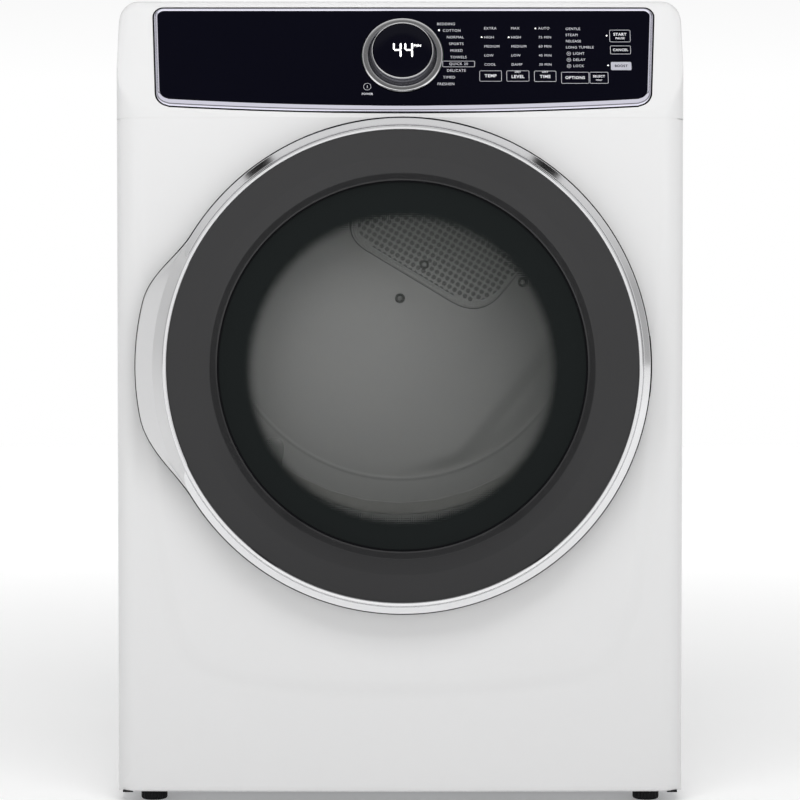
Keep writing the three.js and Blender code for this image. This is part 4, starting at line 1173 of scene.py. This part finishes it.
def inlet_grille():
    """Perforated panel over the warm-air inlet, its holes in square rows along the straight edge."""
    face = REAR_WALL_Y - 1.7
    plate = extruded("inlet_panel", inlet_outline(0), "Y", face, face + 1.2, bevel=0.3)
    pitch, hole, margin = 9.0, 3.55, 7.2
    border = np.array(inlet_outline(-margin))
    spots = [on_inlet(column * pitch, INLET_CHORD + margin + 0.4 + row * pitch)
             for row in range(24) for column in range(-20, 21)]
    drill = drill_through([spot for spot in spots if inside_polygon(*spot, border)], hole, face - 4, face + 6)
    place(carved(plate, drill), "cabinet", "drum_steel", "grille", "inlet_grille")
    # The seam is a black ring round the rim's outside: painted shade of the join between panel and wall.
    for name, material, section in (
            ("inlet_rim", "grille", [(-3.2, 0.4), (-2.6, -1.6), (-1.2, -2.4), (0.2, -1.6), (0.6, 0.4)]),
            ("inlet_seam", "painted_shade_black", [(0.7, 0.6), (0.7, -0.7), (1.9, -0.7), (1.9, 0.6)])):
        rings = [[(x, REAR_WALL_Y + y, z) for x, z in inlet_outline(grow)] for grow, y in section]
        place(loft(name, rings), "cabinet", "drum_steel", material)
    shield = extruded("inlet_shield", inlet_outline(-8), "Y", REAR_WALL_Y + 3.2, REAR_WALL_Y + 4.0, 0.2)
    place(shield, "cabinet", "zinc_steel", "shadow_steel")


def inside_polygon(x, y, polygon):
    """Whether a point is inside a closed outline."""
    x0, y0 = polygon[:, 0], polygon[:, 1]
    x1, y1 = np.roll(x0, -1), np.roll(y0, -1)
    crosses = (y0 > y) != (y1 > y)
    with np.errstate(divide="ignore", invalid="ignore"):
        at = x0 + (y - y0) * (x1 - x0) / (y1 - y0)
    return bool(np.count_nonzero(crosses & (x < at)) % 2)


def wall_screws():
    """Three screws in dimples on the drum's rear wall, the dimples black as painted shade."""
    face = REAR_WALL_Y - 0.6
    for number, (x, up) in enumerate(((0, 0), (182, 24), (36, 50)), 1):
        centre = (x, 0, DRUM_CENTRE.z + up)
        dimple = turned(f"wall_dimple_{number}", filleted([
            (3.4, face, 0), (3.4, face - 1.4, 0.3), (6.6, face - 1.4, 0.6), (7.4, face, 0),
        ]), centre, "Y", 32)
        # black dimple: painted shade in the recess round the screw
        place(dimple, "cabinet", "rubber", "painted_shade_black")
        head = turned(f"wall_screw_{number}", screw_dome(3.3, face, -2.2), centre, "Y", 24)
        place(head, "cabinet", "drum_steel", "steel")


def back_screws():
    """Cross-recessed screws round the back panel."""
    back_y = box_mm("back_panel")[1].y
    spots = [(x, z) for z in (60, 300, 540, 780, 915) for x in (-330, 330)]
    spots += [(x, 925) for x in (-220, -110, 0, 110, 220)]
    for number, (x, z) in enumerate(spots, 1):
        head = turned(f"back_screw_{number:02d}", screw_dome(4.8, back_y, 2.4), (x, 0, z), "Y", 24)
        cross = [block("slot", (x - a, back_y + 1.3, z - b), (x + a, back_y + 3, z + b))
                 for a, b in ((2.4, 0.45), (0.45, 2.4))]
        place(carved(head, *cross), "cabinet", "drum_steel", "steel")


def screw_dome(radius, base, tall):
    """Half section of a pan head whose crown stands tall (signed) off its base."""
    return [(0, base + tall), (0.33 * radius, base + tall), (0.63 * radius, base + 0.8 * tall),
            (radius, base + 0.25 * tall), (radius, base), (0, base)]


def back_ribs():
    """Pressed stiffening ribs on the back panel: long pads with round ends, low down and near the top."""
    back_y = box_mm("back_panel")[1].y
    reach, half_height = 290, 11
    for number, z in enumerate((250, 300, 820, 870), 1):
        rings = []
        for inset, tall in ((0, -0.2), (0.6, 0.9), (2.4, 2.2), (6.0, 2.8)):
            radius = half_height - inset
            ends = arc(reach - half_height, z, radius, -90, 90, 12)
            ends += arc(half_height - reach, z, radius, 90, 270, 12)
            rings.append([(u, back_y + tall, v) for u, v in ends])
        place(loft(f"back_rib_{number}", rings, closed=False, capped=True), "cabinet", "zinc_steel", "zinc")


# ------------------------------------------------------------------ CAD pieces that keep their shape
KEPT = {                                        # by material
    "zinc": ["base_pan", "back_panel", "heater_housing", "motor_housing", "motor_bracket", "exhaust_duct",
             "exhaust_collar", "terminal_cover", "hinge_bracket", "hinge_leaf", "idler_arm"],
    "enamel": ["left_side_panel", "right_side_panel"],
    "black_plastic": ["console_housing", "door_catch", "idler_pulley", "front_left_roller",
                      "front_right_roller", "rear_left_roller", "rear_right_roller"],
    "board": ["control_board"],
    "white_plastic": ["door_inner_panel", "door_switch_button", "front_bulkhead", "lint_filter_frame"],
    "grey_plastic": ["lint_duct", "blower_housing", "blower_wheel"],
    "filter_mesh": ["lint_filter_screen"],
    "copper": ["heating_element"],
    "felt": ["front_drum_seal", "rear_drum_seal"],
    "rubber": ["drum_belt"],
    "steel": ["idler_spring", "moisture_sensor", "door_strike", "motor_shaft"],
    "lamp": ["drum_lamp"],
}


def dress_kept_nodes():
    """Materials and softened edges for the CAD's own pieces."""
    for material, names in KEPT.items():
        for name in names:
            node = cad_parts[name]
            node.data.materials.clear()
            node.data.materials.append(MATERIALS[material])
            weld = node.modifiers.new("weld", "WELD")
            weld.merge_threshold = 1e-6
            bevel = node.modifiers.new("edge", "BEVEL")
            bevel.width = 0.25 * MM
            bevel.segments = 2
            bevel.limit_method = "ANGLE"
            bevel.angle_limit = math.radians(40)
            bevel.harden_normals = False


# ------------------------------------------------------------------ stage
def add_light(light, location, target):
    """Hangs a light that points at a target and isn't mirrored in the glossy parts."""
    holder = bpy.data.objects.new(light.name, light)
    holder.location = location
    direction = Vector(target) - Vector(location)
    holder.rotation_euler = direction.to_track_quat("-Z", "Y").to_euler()
    holder.visible_glossy = False
    bpy.context.scene.collection.objects.link(holder)


def area_light(name, location, target, size, power):
    """A soft panel of light."""
    light = bpy.data.lights.new(name, "AREA")
    light.shape = "RECTANGLE"
    light.size, light.size_y = size
    light.energy = power
    add_light(light, location, target)


def drum_light():
    """Soft light on the drum's rear wall, slanting in from the upper left."""
    light = bpy.data.lights.new("drum_light", "SPOT")
    light.energy = 9.5
    light.spot_size = math.radians(57)
    light.spot_blend = 1.0
    light.shadow_soft_size = 0.05
    add_light(light, (-0.13, -0.16, 0.66), (-0.03, REAR_WALL_Y * MM, 0.50))


def studio_walls(world):
    """Surroundings that the glossy parts mirror: a gradient, and bright panels at the sides with a gap."""
    world.use_nodes = True
    graph = Graph(world.node_tree, "Generated")
    x, _, z = graph.split()
    ceiling = graph.ramp(z, 1.0, 0.16, 0.10, 0.62)
    lean = graph.math("DIVIDE", graph.math("ABSOLUTE", x), graph.math("MAXIMUM", z, 0.001))
    from_gap = graph.math("ABSOLUTE", graph.math("SUBTRACT", lean, 0.74))
    beside = graph.ramp(lean, 0.80, 0.48, 0.9, 3.0)
    panels = graph.math("MULTIPLY", beside, graph.ramp(from_gap, 0.01, 1.0, 0.09, 0.11))
    sideways = graph.ramp(graph.length(x, z), 0.0, 1.0, 0.73, 0.80)
    share = graph.math("MULTIPLY", sideways, graph.ramp(z, 0.0, 1.0, -0.02, 0.0))
    extra = graph.math("MULTIPLY", graph.math("SUBTRACT", panels, ceiling), share)
    background = world.node_tree.nodes["Background"]
    background.inputs["Color"].default_value = (1, 1, 1, 1)
    graph.link(graph.math("ADD", ceiling, extra), background.inputs["Strength"])


def stage():
    """Plain studio: surroundings, a pale floor that brightens with distance, and the lights."""
    scene = bpy.context.scene
    scene.view_settings.view_transform = "Standard"
    scene.world = bpy.data.worlds.new("studio")
    studio_walls(scene.world)
    reach = 9000
    corners = [(-reach, -reach), (reach, -reach), (reach, reach), (-reach, reach)]
    floor = extruded("floor", corners, "Z", -20, 0)
    pale = finish_of("floor_pale", (0.88, 0.88, 0.88), 0.9, 0, 0.004, 40, 0, Emission_Color=(1, 1, 1, 1))
    graph = Graph(pale.node_tree, "Object")
    x, y, _ = graph.split()
    glow = graph.ramp(graph.length(x, y), 0.20, 0.46, 0.6, 3.0)
    graph.link(glow, pale.node_tree.nodes["Principled BSDF"].inputs["Emission Strength"])
    floor.data.materials.append(pale)
    area_light("key", (-2.5, -3.4, 1.9), (0, 0, 0.62), (1.6, 2.0), 5.5)
    area_light("fill", (2.5, -3.4, 1.9), (0, 0, 0.62), (1.6, 2.0), 7.5)
    area_light("high", (0, -1.9, 2.2), (0, -0.36, 0.80), (2.4, 0.8), 25)
    drum_light()


def camera():
    """A long lens about three metres in front, tipped slightly down."""
    data = bpy.data.cameras.new("camera")
    holder = bpy.data.objects.new("camera", data)
    bpy.context.scene.collection.objects.link(holder)
    bpy.context.scene.camera = holder
    data.sensor_width = 36
    data.lens = 111.61
    holder.location = (0, -3.352, 0.572)
    holder.rotation_euler = (math.radians(90 - 1.588), 0, 0)


camera()
stage()
front_panel()
console_frame()
top_panel()
levelling_feet()
back_ribs()
hinge_shadow()
console_bezel()
console_glass()
dial()
segment_digits()
console_print()
door_trim()
door_ear()
door_bezel()
door_glazing()
door_gasket()
drum_shell()
drum_baffles()
rear_wall()
inlet_grille()
wall_screws()
back_screws()
dress_kept_nodes()
